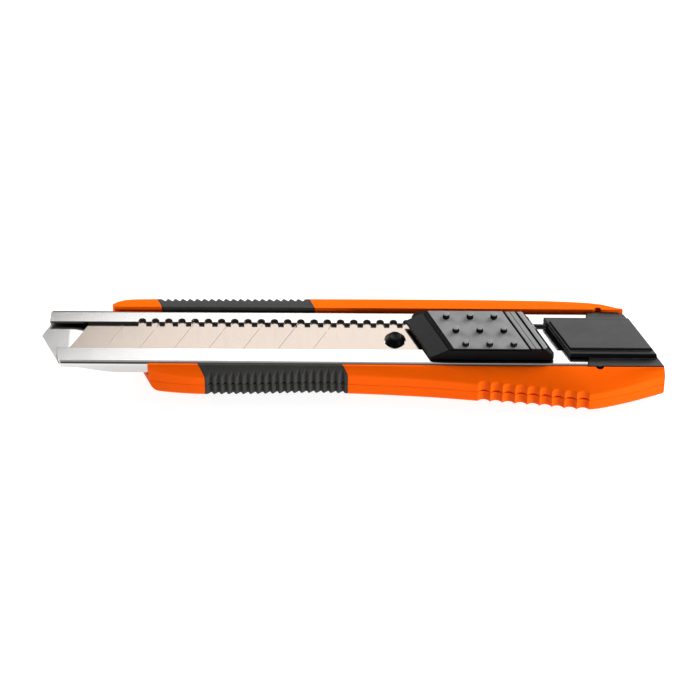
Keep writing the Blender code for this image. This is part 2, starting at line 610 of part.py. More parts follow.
def slider_base():
    side = [(SLIDER_FOOT, SLIDER_BOTTOM), (SLIDER_REAR, SLIDER_BOTTOM), (SLIDER_REAR, REAR_HEIGHT)]
    side += [(RIDGE[1], SLIDER_TOP), (RIDGE[0], SLIDER_TOP), (RIDGE[0], PAD_SEAT)]
    side += [(SLOPE_END, PAD_SEAT), (SLIDER_FOOT, SLIDER_BOTTOM + 0.6 * MM)]
    base = leaning("slider_base", side, SLIDER_NEAR, SLIDER_FAR, SLIDER_LEAN)
    soften(base, SLIDER_EDGE)
    skirt = arc(*SKIRT_FRONT, 180, 90, 5) + in_metres(SKIRT_REAR)
    combine(base, prism("skirt_tool", skirt, SLIDER_BOTTOM, SKIRT_TOP), "UNION")
    combine(base, block("neck_tool", *NECK, FLANGE_BOTTOM, SLIDER_FLOOR - 0.1 * MM), "UNION")
    for start, end, depth in GROOVES:
        groove = [(start * MM, SLIDER_TOP - depth * MM), (end * MM, SLIDER_TOP - depth * MM)]
        groove += [(end * MM, 20 * MM), (start * MM, 20 * MM)]
        cutter = leaning(f"groove_cutter_{start}", groove, -12 * MM, 12 * MM, SLIDER_LEAN)
        combine(base, cutter)
    spaces = [
        block("space", PAWL_X - PAWL_HALF - GAP, PAWL_X + PAWL_HALF + GAP,
              PAWL_NEAR - PAWL_TRAVEL - GAP, PAWL_FAR + GAP, SLIDER_FLOOR, 18 * MM),
        block("space", LUG_X[0] - 5 * MM, LUG_X[1] + GAP, LUG_Y - 1.8 * MM, LUG_Y + 1.6 * MM,
              SLIDER_FLOOR, 18 * MM),
    ]
    combine(base, join("slider_space_cutters", spaces))
    combine(base, block("pawl_neck_space", PAWL_X - 1.15 * MM, PAWL_X + 1.15 * MM, 3.0 * MM, 5.5 * MM,
                        SLIDER_FLOOR - 0.05 * MM, 18 * MM))
    combine(base, block("pawl_nose_space", PAWL_X - 1.15 * MM, PAWL_X + 1.15 * MM, 1.4 * MM, 6.95 * MM,
                        10 * MM, 12.5 * MM))
    combine(base, block("pawl_spring_space", PAWL_X - 1.2 * MM, PAWL_X + 1.2 * MM, -7.6 * MM, -5.0 * MM,
                        SLIDER_FLOOR + 0.05 * MM, 18 * MM))
    holes = []
    for x, y in SLIDER_SCREWS:
        profile = [(1.1 * MM, 9 * MM), (1.1 * MM, SLIDER_FLOOR), (1.7 * MM, SLIDER_FLOOR)]
        profile.append((1.7 * MM, 18 * MM))
        holes.append(turned("hole", profile, x, y, 16))
    combine(base, join("slider_hole_cutters", holes))
    base.data.materials.append(material("black_slider", BLACK, 0.35, 0))


def pad_studs():
    """Three rows of three studs, each row set back along the slider's lean."""
    studs = []
    for row in range(3):
        for column in range(3):
            x = STUD_FIRST[0] + STUD_SHIFT * row + STUD_PITCH[0] * column
            y = STUD_FIRST[1] + STUD_PITCH[1] * row
            top = SLIDER_TOP + STUD_HEIGHT
            profile = [(1.05 * MM, SLIDER_TOP - 0.3 * MM), (1.0 * MM, SLIDER_TOP + 0.1 * MM)]
            profile += [(0.82 * MM, top - 0.15 * MM), (0.66 * MM, top)]
            studs.append(turned("stud", profile, x, y, 16))
    return studs


def cam_outline(length, thick, x, y):
    """A slanted slot or fin in plan, along the way the pad slides past the pawl."""
    reach = math.hypot(PAD_TRAVEL, PAWL_TRAVEL)
    along = (-PAD_TRAVEL / reach, PAWL_TRAVEL / reach)
    across = (along[1], -along[0])
    corners = []
    for a, b in ((-1, -1), (1, -1), (1, 1), (-1, 1)):
        forward, side = a * length / 2, b * thick / 2
        corners.append((x + along[0] * forward + across[0] * side, y + along[1] * forward + across[1] * side))
    return corners


def thumb_pad():
    side = [(PAD_FRONT, PAD_BOTTOM), (PAD_REAR, PAD_BOTTOM), (PAD_REAR, SLIDER_TOP)]
    side += [(PAD_FRONT + PAD_CHAMFER, SLIDER_TOP), (PAD_FRONT, PAD_BOTTOM + 0.12 * MM)]
    pad = leaning("thumb_pad", side, SLIDER_NEAR, SLIDER_FAR, SLIDER_LEAN)
    combine(pad, join("pad_stud_tools", pad_studs()), "UNION")
    fin = cam_outline(FIN_LENGTH, FIN_THICK, PAWL_X + PAD_TRAVEL / 2, 0.1 * MM - PAWL_TRAVEL / 2)
    legs = [prism("leg", fin, PAWL_BOTTOM + 0.2 * MM, PAD_BOTTOM + 0.2 * MM)]
    legs.append(block("leg", *LUG_X, LUG_Y - LUG_HALF, LUG_Y + LUG_HALF, PAWL_BOTTOM + 0.2 * MM,
                      PAD_BOTTOM + 0.2 * MM))
    combine(pad, join("pad_leg_tools", legs), "UNION")
    pad.data.materials.append(material("black_pad", BLACK, 0.3, 0))


def lock_pawl():
    pawl = block("lock_pawl", PAWL_X - PAWL_HALF, PAWL_X + PAWL_HALF, PAWL_NEAR, PAWL_FAR,
                 PAWL_BOTTOM, PAWL_TOP)
    neck = block("pawl_neck_tool", PAWL_X - NOSE_HALF, PAWL_X + NOSE_HALF, 3.2 * MM, 5.2 * MM,
                 PAWL_BOTTOM - 0.3 * MM, PAWL_TOP - 0.1 * MM)
    combine(pawl, neck, "UNION")
    plan = [(PAWL_X - NOSE_HALF, 4.4 * MM), (PAWL_X + NOSE_HALF, 4.4 * MM)]
    plan += arc(PAWL_X, 5.8 * MM, NOSE_HALF, 0, 180, 8)
    combine(pawl, prism("pawl_nose_tool", plan, BLADE_TOP + 0.3 * MM, PAWL_BOTTOM - 0.1 * MM), "UNION")
    reach = math.hypot(PAD_TRAVEL, PAWL_TRAVEL)
    slot = cam_outline(FIN_LENGTH + reach + 2 * GAP, FIN_THICK + 2 * GAP, PAWL_X, 0.1 * MM)
    combine(pawl, prism("cam_slot_cutter", slot, 10 * MM, 16 * MM))
    pawl.data.materials.append(material("pawl_steel", STEEL, 0.35, 1))


def coil(name, start, axis, length, radius, wire, turns):
    """A coil spring from start along X or Y, as a tube around a helix."""
    steps, sides = 12, 6
    rings = []
    for i in range(turns * steps + 1):
        turn = 2 * math.pi * i / steps
        out = (math.cos(turn), math.sin(turn))
        ring = []
        for j in range(sides):
            a = 2 * math.pi * j / sides
            reach = radius + wire * math.cos(a)
            along = wire + (length - 2 * wire) * i / (turns * steps) + wire * math.sin(a)
            point = [start[0], start[1], start[2] + reach * out[1]]
            point[axis] += along
            point[1 - axis] += reach * out[0]
            ring.append(point)
        rings.append(ring)
    spring = loft(name, rings)
    spring.data.materials.append(material(name + "_steel", STEEL, 0.3, 1))


def end_cap():
    cap = leaning("end_cap", in_metres(CAP_BODY), -CHANNEL_HALF, CHANNEL_HALF, CAP_LEAN)
    combine(cap, block("cap_front_cutter", 40 * MM, CAP_FRONT, -14 * MM, 14 * MM, 4 * MM, 14 * MM))
    step = leaning("cap_ledge_tool", in_metres(CAP_LEDGE), -7.4 * MM, 6.6 * MM, CAP_LEAN)
    soften(step, CAP_EDGE)
    combine(step, block("cap_bridge_cutter", 40 * MM, CAP_FRONT, -14 * MM, 14 * MM, 4 * MM,
                        CHANNEL_TOP + GAP))
    combine(cap, step, "UNION")
    top = leaning("cap_crown_tool", in_metres(CAP_CROWN), -6.1 * MM, 4.5 * MM, CAP_LEAN)
    soften(top, CAP_EDGE)
    combine(cap, top, "UNION")
    combine(cap, block("cap_web_tool", *TONGUE, NECK[2], NECK[3], CARRIER_TOP - 0.5 * MM,
                       CHANNEL_TOP + 1.0 * MM), "UNION")
    combine(cap, block("cap_tongue_tool", *TONGUE, -CARRIER_HALF, CARRIER_HALF, CARRIER_BOTTOM,
                       CARRIER_TOP), "UNION")
    far_corner = arc(75.0 * MM, 7.3 * MM, 3.0 * MM, 28, 90, 5)
    corner = [(82 * MM, 5.0 * MM), (84 * MM, 14 * MM), (75 * MM, 14 * MM), *far_corner[::-1]]
    combine(cap, prism("cap_corner_cutter", corner, 4 * MM, 18 * MM))
    bumps = []
    for sign in (-1, 1):
        ends = [(1.1 * MM, 9.2 * MM), (1.1 * MM, CHANNEL_TOP - 0.1 * MM)]
        bumps.append(turned("bump", ends, CATCH_X, sign * (CHANNEL_HALF - 0.9 * MM), 20))
    combine(cap, join("cap_bump_tools", bumps), "UNION")
    cap.data.materials.append(material("black_cap", BLACK, 0.4, 0))


def handle_tools():
    """Cutters that more than one part of the handle uses."""
    return {
        "low_side": block("low_side_cutter", -0.1, 0.1, -0.03, POCKET_HALF - 0.5 * MM, CHANNEL_TOP, 0.02),
        "near_bevel": near_bevel(),
        "pocket": block("pocket_cutter", -0.1, 0.1, -POCKET_HALF, POCKET_HALF, FLOOR_TOP, 0.022),
        "front_end": end_cutter("front_end_cutter", *FRONT_LINE, FRONT_RADIUS),
        "rear_end": end_cutter("rear_end_cutter", *REAR_LINE, UNDERSIDE_RADIUS),
        "flutes": join("flute_cutters", flutes()),
        "near_ribs": ribs("near_rib_cutters", near_edge, -1, *NEAR_RIBS),
        "far_ribs": ribs("far_rib_cutters", far_edge, 1, *FAR_RIBS),
    }


def main():
    clear_scene()
    tools = handle_tools()
    blade_channel()
    handle_frame(tools)
    frame_grips(tools)
    back_cover(tools)
    back_grip(tools)
    rivets()
    cover_screw = screw_mesh("cover_screw", 1.9 * MM, 0.85 * MM, 1.6 * MM, 5.4 * MM, 1.1 * MM)
    fasteners("cover_screw", cover_screw, COVER_SCREWS, material("screw_steel", STEEL, 0.3, 1))
    blade()
    blade_carrier()
    blade_stud()
    slider_base()
    seat = SLIDER_FLOOR + GAP
    slider_screw = screw_mesh("slider_screw", 1.4 * MM, 0.8 * MM, seat, 8.2 * MM, 1.1 * MM)
    fasteners("slider_screw", slider_screw, SLIDER_SCREWS, material("small_screw_steel", STEEL, 0.3, 1))
    thumb_pad()
    lock_pawl()
    coil("pawl_spring", (PAWL_X, -7.3 * MM, 13.5 * MM), 1, 3.6 * MM, 0.8 * MM, 0.2 * MM, 4)
    coil("pad_spring", (37.2 * MM, LUG_Y, 13.7 * MM), 0, 4.4 * MM, 0.9 * MM, 0.2 * MM, 5)
    end_cap()


main()
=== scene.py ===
# %% [markdown]
# # A snap-off knife, finished piece by piece
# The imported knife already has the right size, and its parts already move. This lesson gives it the
# shapes and finishes that a person sees. Each visible part is drawn again, finer, in the place that the
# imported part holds, and the parts that stay hidden get only a finish.

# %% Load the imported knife
import json
import math

import bmesh
import bpy
from mathutils import Matrix, Vector

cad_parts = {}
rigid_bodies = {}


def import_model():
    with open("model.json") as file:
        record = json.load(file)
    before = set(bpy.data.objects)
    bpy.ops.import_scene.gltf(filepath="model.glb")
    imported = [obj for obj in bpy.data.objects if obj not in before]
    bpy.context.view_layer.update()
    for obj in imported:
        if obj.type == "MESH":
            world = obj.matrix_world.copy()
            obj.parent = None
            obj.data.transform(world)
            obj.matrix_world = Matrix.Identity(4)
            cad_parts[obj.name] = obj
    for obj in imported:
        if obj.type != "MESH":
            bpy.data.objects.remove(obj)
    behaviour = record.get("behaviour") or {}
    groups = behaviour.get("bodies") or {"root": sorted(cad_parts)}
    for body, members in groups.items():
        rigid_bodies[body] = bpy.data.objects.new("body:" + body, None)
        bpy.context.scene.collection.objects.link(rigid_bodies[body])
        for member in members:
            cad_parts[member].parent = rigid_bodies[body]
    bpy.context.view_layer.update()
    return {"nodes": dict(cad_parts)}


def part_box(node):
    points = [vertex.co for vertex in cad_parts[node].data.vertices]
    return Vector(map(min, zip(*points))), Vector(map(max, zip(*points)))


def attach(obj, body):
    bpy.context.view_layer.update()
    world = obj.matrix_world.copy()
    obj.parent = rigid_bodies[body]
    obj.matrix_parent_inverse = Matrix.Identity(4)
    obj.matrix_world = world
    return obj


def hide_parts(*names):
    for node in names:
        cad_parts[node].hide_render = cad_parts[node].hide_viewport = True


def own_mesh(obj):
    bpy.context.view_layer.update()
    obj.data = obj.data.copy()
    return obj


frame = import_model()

# %% [markdown]
# ## Sizes
# Everything is drawn in millimetres from the channel's centre line, because that is how such a knife is
# dimensioned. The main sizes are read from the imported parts, so the looks can't drift from the design.

# %% Read the main sizes
MM = 0.001
CENTRE = Vector((0, (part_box("blade_channel")[0].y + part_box("blade_channel")[1].y) / 2, 0))


def corners(node):
    """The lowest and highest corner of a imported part, in millimetres from the centre line."""
    return [(corner - CENTRE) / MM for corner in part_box(node)]


channel_low, channel_high = corners("blade_channel")
blade_low, blade_high = corners("blade")
slider_low, slider_high = corners("slider_base")
cap_high = corners("end_cap")[1]
CLEARANCE = 0.3
LEDGE_TOP = 12.9
TOP = channel_high.z
CHANNEL_HALF = channel_high.y
POCKET = CHANNEL_HALF + CLEARANCE
POCKET_FLOOR = channel_low.z - CLEARANCE
RIM_TOP = corners("handle_frame")[1].z
SPLIT = corners("back_cover")[1].z
print(f"channel top {TOP:.2f}, split {SPLIT:.2f}, far rim {RIM_TOP:.2f} mm")

# %% [markdown]
# ## The handle's outline
# Seen from above, the handle swells gently where the palm closes on it. A few measured points and a
# smooth curve through them give each edge. A spline would do the same, but a formula can be asked for
# its value at any place, which the ribs and flutes need.

# %% Curves through a few points
NEAR_POINTS = ((-57.2, 11.4), (-51.5, 12.3), (-43.0, 12.9), (-29.0, 12.8), (-8.0, 12.2), (19.0, 13.4),
               (39.0, 15.2), (53.0, 16.6), (66.2, 17.9), (76.3, 15.6), (88.0, 11.4))
FAR_POINTS = ((-68.2, 11.2), (-67.6, 12.5), (-66.0, 13.5), (-61.0, 14.1), (-20.0, 14.5), (20.0, 14.63),
              (53.0, 14.4), (66.0, 13.8), (71.0, 13.1), (73.0, 12.4), (75.0, 11.5), (76.5, 11.2))
CREASE_POINTS = ((-57.2, 1.6), (-43.0, 3.2), (0.0, 2.4), (25.0, 2.8), (66.0, 3.7), (88.0, 2.7))


def through(points, x):
    """The value at x of a smooth curve through (x, value) points, level beyond their ends."""
    x = min(max(x, points[0][0]), points[-1][0])
    i = min(sum(x >= point[0] for point in points[1:-1]), len(points) - 2)
    slopes = []
    for j in (i, i + 1):
        before, after = points[max(j - 1, 0)], points[min(j + 1, len(points) - 1)]
        slopes.append((after[1] - before[1]) / (after[0] - before[0]))
    (x0, y0), (x1, y1) = points[i], points[i + 1]
    t = (x - x0) / (x1 - x0)
    rise = y0 * (2 * t**3 - 3 * t**2 + 1) + y1 * (3 * t**2 - 2 * t**3)
    return rise + (x1 - x0) * (slopes[0] * (t**3 - 2 * t**2 + t) + slopes[1] * (t**3 - t**2))


print(f"half widths at the middle: near {through(NEAR_POINTS, 0):.1f}, far {through(FAR_POINTS, 0):.1f} mm")

# %% [markdown]
# ## Ribs and flutes
# The rubber has sawtooth ribs against slipping: each long face sinks towards the rear, then a short face
# comes back out. The orange side has nine shallow round flutes for the finger tips. Both are depths that
# are taken off the wall, so one wall serves plain, ribbed and fluted stretches.

# %% Depths along the walls
RIB_PITCH = 2.06
RIB_DEPTH = 0.85
NEAR_RIBS = (-41.2, 19)
FAR_RIBS = (-54.9, 20)
FLUTE_FIRST, FLUTE_PITCH, FLUTE_COUNT = 37.2, 3.465, 9
FLUTE_RADIUS, FLUTE_DEPTH = 2.28, 0.8


def rib_depth(row, x):
    """How deep a row of ribs is at x, with its edges a little rounded."""
    first, count = row
    total = 0
    for offset in (-0.12, -0.06, 0, 0.06, 0.12):
        place = x + offset - first
        if 0 <= place < count * RIB_PITCH:
            step = place % RIB_PITCH
            sinking = (step - 0.35) / 1.2
            rising = (RIB_PITCH - step) / 0.51
            total += RIB_DEPTH * max(0, min(sinking, rising, 1))
    return total / 5


def flute_depth(x):
    nearest = round((x - FLUTE_FIRST) / FLUTE_PITCH)
    if not 0 <= nearest < FLUTE_COUNT:
        return 0
    offset = x - FLUTE_FIRST - nearest * FLUTE_PITCH
    return max(0, FLUTE_DEPTH - FLUTE_RADIUS + math.sqrt(FLUTE_RADIUS**2 - offset**2))


def row_of_places(first, pitch, count, cuts):
    """Evenly spaced places along a row of repeated details."""
    return [first + pitch * i / cuts for i in range(count * cuts + 1)]


def stations(start, end, *rows):
    """Places along the handle: one every 2 mm, and more where a row of details needs them."""
    places = {start, end}
    places.update(start + 2 * i for i in range(int((end - start) / 2) + 1))
    for row in rows:
        places.update(place for place in row if start < place < end)
    return sorted({round(place, 3) for place in places})


flute_places = row_of_places(FLUTE_FIRST - FLUTE_PITCH / 2, FLUTE_PITCH, FLUTE_COUNT, 14)
near_rib_places = row_of_places(NEAR_RIBS[0], RIB_PITCH, NEAR_RIBS[1], 16)
far_rib_places = row_of_places(FAR_RIBS[0], RIB_PITCH, FAR_RIBS[1], 16)
print("places:", len(flute_places), "for flutes,", len(near_rib_places), "for near ribs")

# %% [markdown]
# ## Shaping helpers
# Most parts of this knife are either drawn out along a line or turned about an axis. Drawing out is one
# face that is extruded from station to station, and its corners are moved at each stop. Rounded corners
# belong in the drawn outline, where they stay even. A bevel afterwards would have to work on edges of
# very different lengths.

# %% Outlines and extrusions


def rounded(before, corner, after, radius, steps=4):
    """Points that round the corner between two straight stretches of an outline."""
    corner = Vector(corner)
    start = corner + (Vector(before) - corner).normalized() * radius
    end = corner + (Vector(after) - corner).normalized() * radius
    points = []
    for i in range(steps + 1):
        t = i / steps
        points.append(tuple(start * (1 - t) ** 2 + corner * 2 * t * (1 - t) + end * t**2))
    return points


def drawn_out(rings):
    """A closed shape: a face on the first ring, extruded to each of the others in turn."""
    shape = bmesh.new()
    start = shape.faces.new([shape.verts.new(point) for point in rings[0]])
    face = start
    for ring in rings[1:]:
        made = bmesh.ops.extrude_face_region(shape, geom=[face])
        if face != start:
            bmesh.ops.delete(shape, geom=[face], context="FACES_ONLY")
        face = next(part for part in made["geom"] if isinstance(part, bmesh.types.BMFace))
        for vert, point in zip(face.verts, ring):
            vert.co = point
    bmesh.ops.recalc_face_normals(shape, faces=shape.faces)
    return shape


def along_x(outline, places):
    """Draws an outline of (y, z) points, which outline(x) gives, through places along X."""
    return drawn_out([[(x, y, z) for y, z in outline(x)] for x in places])


def across(profile, near, far, lean=0):
    """Draws a side profile of (x, z) points across the knife, leaning along X as it goes."""
    return drawn_out([[(x - lean * y, y, z) for x, z in profile] for y in (near, far)])


def upright(plan, low, high):
    """Draws a plan of (x, y) points upwards."""
    return drawn_out([[(x, y, z) for x, y in plan] for z in (low, high)])


def slab(x0, x1, y0, y1, low, high):
    """A block with level and upright faces."""
    return upright([(x0, y0), (x1, y0), (x1, y1), (x0, y1)], low, high)


def turned(profile, x, y, steps=32):
    """Spins a profile of (radius, z) points about an upright axis at (x, y)."""
    shape = bmesh.new()
    points = [shape.verts.new((x + radius, y, z)) for radius, z in profile]
    line = [shape.edges.new(pair) for pair in zip(points, points[1:])]
    bmesh.ops.spin(shape, geom=[*points, *line], cent=(x, y, 0), axis=(0, 0, 1), angle=2 * math.pi,
                   steps=steps, use_merge=True)
    bmesh.ops.remove_doubles(shape, verts=shape.verts, dist=0.0001)
    bmesh.ops.recalc_face_normals(shape, faces=shape.faces)
    return shape


print("shapes are drawn along X, across, upwards or turned")

# %% [markdown]
# ## Cutting and joining
# A saw cut on a plane is one operator and closes easily. Where the tool has a shape of its own, as a
# scalloped slot does, a Boolean is the honest way: the real part is punched or milled there too.

# %% Saw, carve and soften


def merged(shapes):
    """Several shapes that don't touch, as one."""
    whole = bmesh.new()
    for shape in shapes:
        mesh = bpy.data.meshes.new("part")
        shape.to_mesh(mesh)
        shape.free()
        whole.from_mesh(mesh)
        bpy.data.meshes.remove(mesh)
    return whole


def sawn(shape, point, outwards):
    """Saws a shape on a plane, drops what lies outwards and closes the cut."""
    geom = [*shape.verts, *shape.edges, *shape.faces]
    bmesh.ops.bisect_plane(shape, geom=geom, plane_co=point, plane_no=outwards, clear_outer=True,
                           dist=0.0001)
    rim = [edge for edge in shape.edges if edge.is_boundary]
    bmesh.ops.holes_fill(shape, edges=rim, sides=0)
    return shape


def carved(shape, tool, operation="DIFFERENCE"):
    """A shape cut by, or joined with, another."""
    things = []
    for part in (shape, tool):
        mesh = bpy.data.meshes.new("part")
        part.to_mesh(mesh)
        part.free()
        thing = bpy.data.objects.new("part", mesh)
        bpy.context.collection.objects.link(thing)
        things.append(thing)
    step = things[0].modifiers.new("carve", "BOOLEAN")
    step.operation = operation
    step.solver = "EXACT"
    step.object = things[1]
    done = bpy.data.meshes.new_from_object(things[0].evaluated_get(bpy.context.evaluated_depsgraph_get()))
    result = bmesh.new()
    result.from_mesh(done)
    bpy.data.meshes.remove(done)
    for thing in things:
        mesh = thing.data
        bpy.data.objects.remove(thing)
        bpy.data.meshes.remove(mesh)
    return result


def softened(shape, width, segments=3, chosen=None):
    """Bevels the edges where faces meet at more than 30 degrees, or only the chosen ones."""
    if chosen is None:
        chosen = [edge for edge in shape.edges if edge.calc_face_angle(0) > math.radians(30)]
    bmesh.ops.bevel(shape, geom=chosen, offset=width, affect="EDGES", segments=segments, profile=0.5,
                    material=-1, clamp_overlap=True)
    return shape


print("helpers ready: sawn, carved, softened")

# %% [markdown]
# ## Mixing finishes
# A finish is a small recipe of nodes. Writing the sums as ordinary expressions keeps a recipe readable,
# so a wire between nodes knows how to be added and multiplied. Everything else is one method that adds
# any node. All patterns read Object coordinates, so they are fixed to the part and move with it.

# %% A wire and a recipe


class Wire:
    """One socket of a recipe, which can be used in sums with numbers and other wires."""

    def __init__(self, recipe, socket):
        self.recipe = recipe
        self.socket = socket

    def maths(self, operation, *terms):
        return self.recipe.node("ShaderNodeMath", {"operation": operation}, dict(enumerate(terms)))

    def __add__(self, other):
        return self.maths("ADD", self, other)

    def __sub__(self, other):
        return self.maths("SUBTRACT", self, other)

    def __rsub__(self, other):
        return self.maths("SUBTRACT", other, self)

    def __mul__(self, other):
        return self.maths("MULTIPLY", self, other)

    __radd__ = __add__
    __rmul__ = __mul__


class Recipe:
    """A finish: one material, its constants, and the nodes that vary it over the surface."""

    def __init__(self, name, **constants):
        self.material = bpy.data.materials.new(name)
        self.material.use_nodes = True
        self.tree = self.material.node_tree
        self.shader = self.tree.nodes["Principled BSDF"]
        for socket, value in constants.items():
            self.shader.inputs[socket.replace("_", " ")].default_value = value
        self.place = self.node("ShaderNodeTexCoord", {}, {}, "Object")

    def node(self, kind, settings, sockets, output=0):
        """Adds a node: its settings first, then the values or wires of its sockets."""
        made = self.tree.nodes.new(kind)
        for name, value in settings.items():
            if name == "stops":
                self.set_stops(made.color_ramp, value)
            else:
                setattr(made, name, value)
        offered = [socket for socket in made.inputs if socket.enabled]
        for key, value in sockets.items():
            named = [socket for socket in offered if socket.name == key]
            self.feed(offered[key] if isinstance(key, int) else named[0], value)
        results = [socket for socket in made.outputs if socket.enabled]
        if isinstance(output, str):
            return Wire(self, made.outputs[output])
        return Wire(self, results[output])

    def set_stops(self, ramp, stops):
        """Gives a ramp its (position, brightness) stops."""
        while len(ramp.elements) < len(stops):
            ramp.elements.new(0.5)
        for element, (position, level) in zip(ramp.elements, stops):
            element.position = position
            element.color = (level, level, level, 1)

    def feed(self, socket, value):
        if isinstance(value, Wire):
            self.tree.links.new(value.socket, socket)
        else:
            socket.default_value = value

    def surface(self, **fed):
        """Feeds the shader's own sockets with wires."""
        for name, value in fed.items():
            self.feed(self.shader.inputs[name.replace("_", " ")], value)
        return self.material

    def noise(self, scale, stretch=(1, 1, 1), detail=2):
        """Soft noise with so many blobs to a metre, drawn out by the stretch."""
        turned_place = self.node("ShaderNodeMapping", {}, {"Vector": self.place, "Scale": stretch})
        return self.node("ShaderNodeTexNoise", {}, {"Vector": turned_place, "Scale": scale,
                                                    "Detail": detail, "Roughness": 0.55})

    def between(self, low, high, share):
        """A colour between two others."""
        return self.node("ShaderNodeMix", {"data_type": "RGBA"}, {"Factor": share, "A": low, "B": high})

    def bumps(self, height, depth, below=None):
        """Fine relief of so many metres' depth."""
        sockets = {"Strength": 1.0, "Distance": depth, "Height": height}
        if below is not None:
            sockets["Normal"] = below
        return self.node("ShaderNodeBump", {}, sockets)


print("a recipe can be mixed")

# %% [markdown]
# ## Orange plastic
# The handle is injection moulded in a tough, slightly waxy plastic. Its mould is spark eroded, so the
# surface has a grain of about a fifth of a millimetre that breaks up reflections. Broad, weak colour
# changes come from the way the plastic flowed, and handling polishes it here and there.

# %% Mix the orange plastic


def orange_plastic():
    recipe = Recipe("moulded_orange", Specular_IOR_Level=0.02)
    flow = recipe.noise(55, (0.35, 1, 1), 3)
    grain = recipe.noise(5200, detail=3)
    handled = recipe.noise(260, (0.5, 1, 1), 4)
    colour = recipe.between((0.92, 0.1, 0.0012, 1), (1.0, 0.13, 0.002, 1), flow)
    roughness = 0.34 + handled * 0.16 + grain * 0.06
    normal = recipe.bumps(grain, 0.000035)
    return recipe.surface(Base_Color=colour, Roughness=roughness, Normal=normal)


ORANGE = orange_plastic()
print("mixed", ORANGE.name)

# %% [markdown]
# ## Rubber
# The grips are a soft rubber moulded over the plastic. Rubber has no gloss to speak of, a fine powdery
# grain, and a faint bloom that greys it in patches, so it looks greyer than black plastic.

# %% Mix the rubber


def grip_rubber():
    recipe = Recipe("grip_rubber", Specular_IOR_Level=0.08)
    bloom = recipe.noise(420, detail=4)
    grain = recipe.noise(6500, detail=2)
    colour = recipe.between((0.034, 0.034, 0.033, 1), (0.055, 0.054, 0.051, 1), bloom)
    roughness = 0.5 + bloom * 0.2 + grain * 0.08
    normal = recipe.bumps(grain, 0.00003)
    return recipe.surface(Base_Color=colour, Roughness=roughness, Normal=normal)


RUBBER = grip_rubber()
print("mixed", RUBBER.name)

# %% [markdown]
# ## Black plastic
# The slider, its pad, the stud and the end cap are a harder black plastic with a satin grain. Their level
# tops are painted a lighter grey for the sheen the light above lays on them; the sides keep their colour.
# Each top lies at one height, so a height with a small tolerance picks it out.

# %% Mix the black plastics
TOP_TOLERANCE = 0.12


def black_plastic(name, roughness, shine, tops, sheen_grey):
    recipe = Recipe(name, Specular_IOR_Level=shine)
    grain = recipe.noise(4200, detail=3)
    thumb_wear_and_sheen_patches = recipe.noise(150, (1, 1.4, 1), 4)
    height = recipe.node("ShaderNodeSeparateXYZ", {}, {"Vector": recipe.place}, "Z")
    # painted sheen: the level tops are mixed towards a lighter grey for the light that they reflect
    painted_sheen = thumb_wear_and_sheen_patches * 0
    for top in tops:
        painted_sheen = painted_sheen + height.maths("COMPARE", height, top * MM, TOP_TOLERANCE * MM)
    fresh = recipe.between((0.0018, 0.0018, 0.002, 1), (0.005, 0.005, 0.0052, 1), thumb_wear_and_sheen_patches)
    colour = recipe.between(fresh, (sheen_grey, sheen_grey, sheen_grey * 1.01, 1), painted_sheen * (0.75 + thumb_wear_and_sheen_patches * 0.4))
    normal = recipe.bumps(grain, 0.00004)
    varied = roughness + thumb_wear_and_sheen_patches * 0.14 + grain * 0.05
    return recipe.surface(Base_Color=colour, Roughness=varied, Normal=normal)


# the last number is the grey of the painted sheen on the level tops
SATIN_BLACK = black_plastic("satin_black", 0.27, 0.08, (slider_high.z, corners("thumb_pad")[1].z), 0.21)
DULL_BLACK = black_plastic("dull_black", 0.34, 0.08, (cap_high.z, LEDGE_TOP, TOP), 0.062)
print("mixed", SATIN_BLACK.name, "and", DULL_BLACK.name)

# %% [markdown]
# ## Steel
# The channel is folded from bright rolled sheet, so its fine lines run along the knife. The blade is
# ground, with marks across its width and a warmer tint from tempering. Fasteners are plated with zinc.
# One recipe serves all, with its own stretch, tint and gloss.

# %% Mix the steels


def steel(name, stretch, dark, bright, gloss, depth):
    recipe = Recipe(name, Metallic=1.0)
    lines = recipe.noise(1.0, stretch, 3)
    clouds = recipe.noise(90, (0.4, 1, 1), 3)
    scratches = recipe.noise(1.0, [part * 0.23 for part in stretch], 2)
    rare = recipe.node("ShaderNodeValToRGB", {"stops": ((0.62, 0.0), (0.7, 1.0))}, {"Fac": scratches})
    colour = recipe.between(dark, bright, lines * 0.6 + clouds * 0.4)
    roughness = gloss + lines * 0.09 + clouds * 0.07 + rare * 0.05
    normal = recipe.bumps(lines, depth)
    return recipe.surface(Base_Color=colour, Roughness=roughness, Normal=normal)


CHANNEL_STEEL = steel("rolled_steel", (60, 9000, 9000), (0.56, 0.55, 0.54, 1), (0.70, 0.69, 0.68, 1), 0.07,
                      0.000004)
BLADE_STEEL = steel("ground_steel", (9000, 160, 9000), (0.37, 0.312, 0.268, 1), (0.54, 0.47, 0.415, 1), 0.06,
                    0.000004)
ZINC = steel("zinc_plate", (2500, 2500, 2500), (0.58, 0.58, 0.56, 1), (0.75, 0.75, 0.73, 1), 0.28, 0.000006)
print("mixed", CHANNEL_STEEL.name, BLADE_STEEL.name, ZINC.name)

# %% [markdown]
# ## Putting a piece in place
# A finished shape is scaled to metres and moved to the centre line inside its own mesh. Its object stays
# at the origin, so patterns stay put. Flat faces beside fine bevels need weighted normals, or their
# shading would bend towards the bevel.

# %% Finish a piece


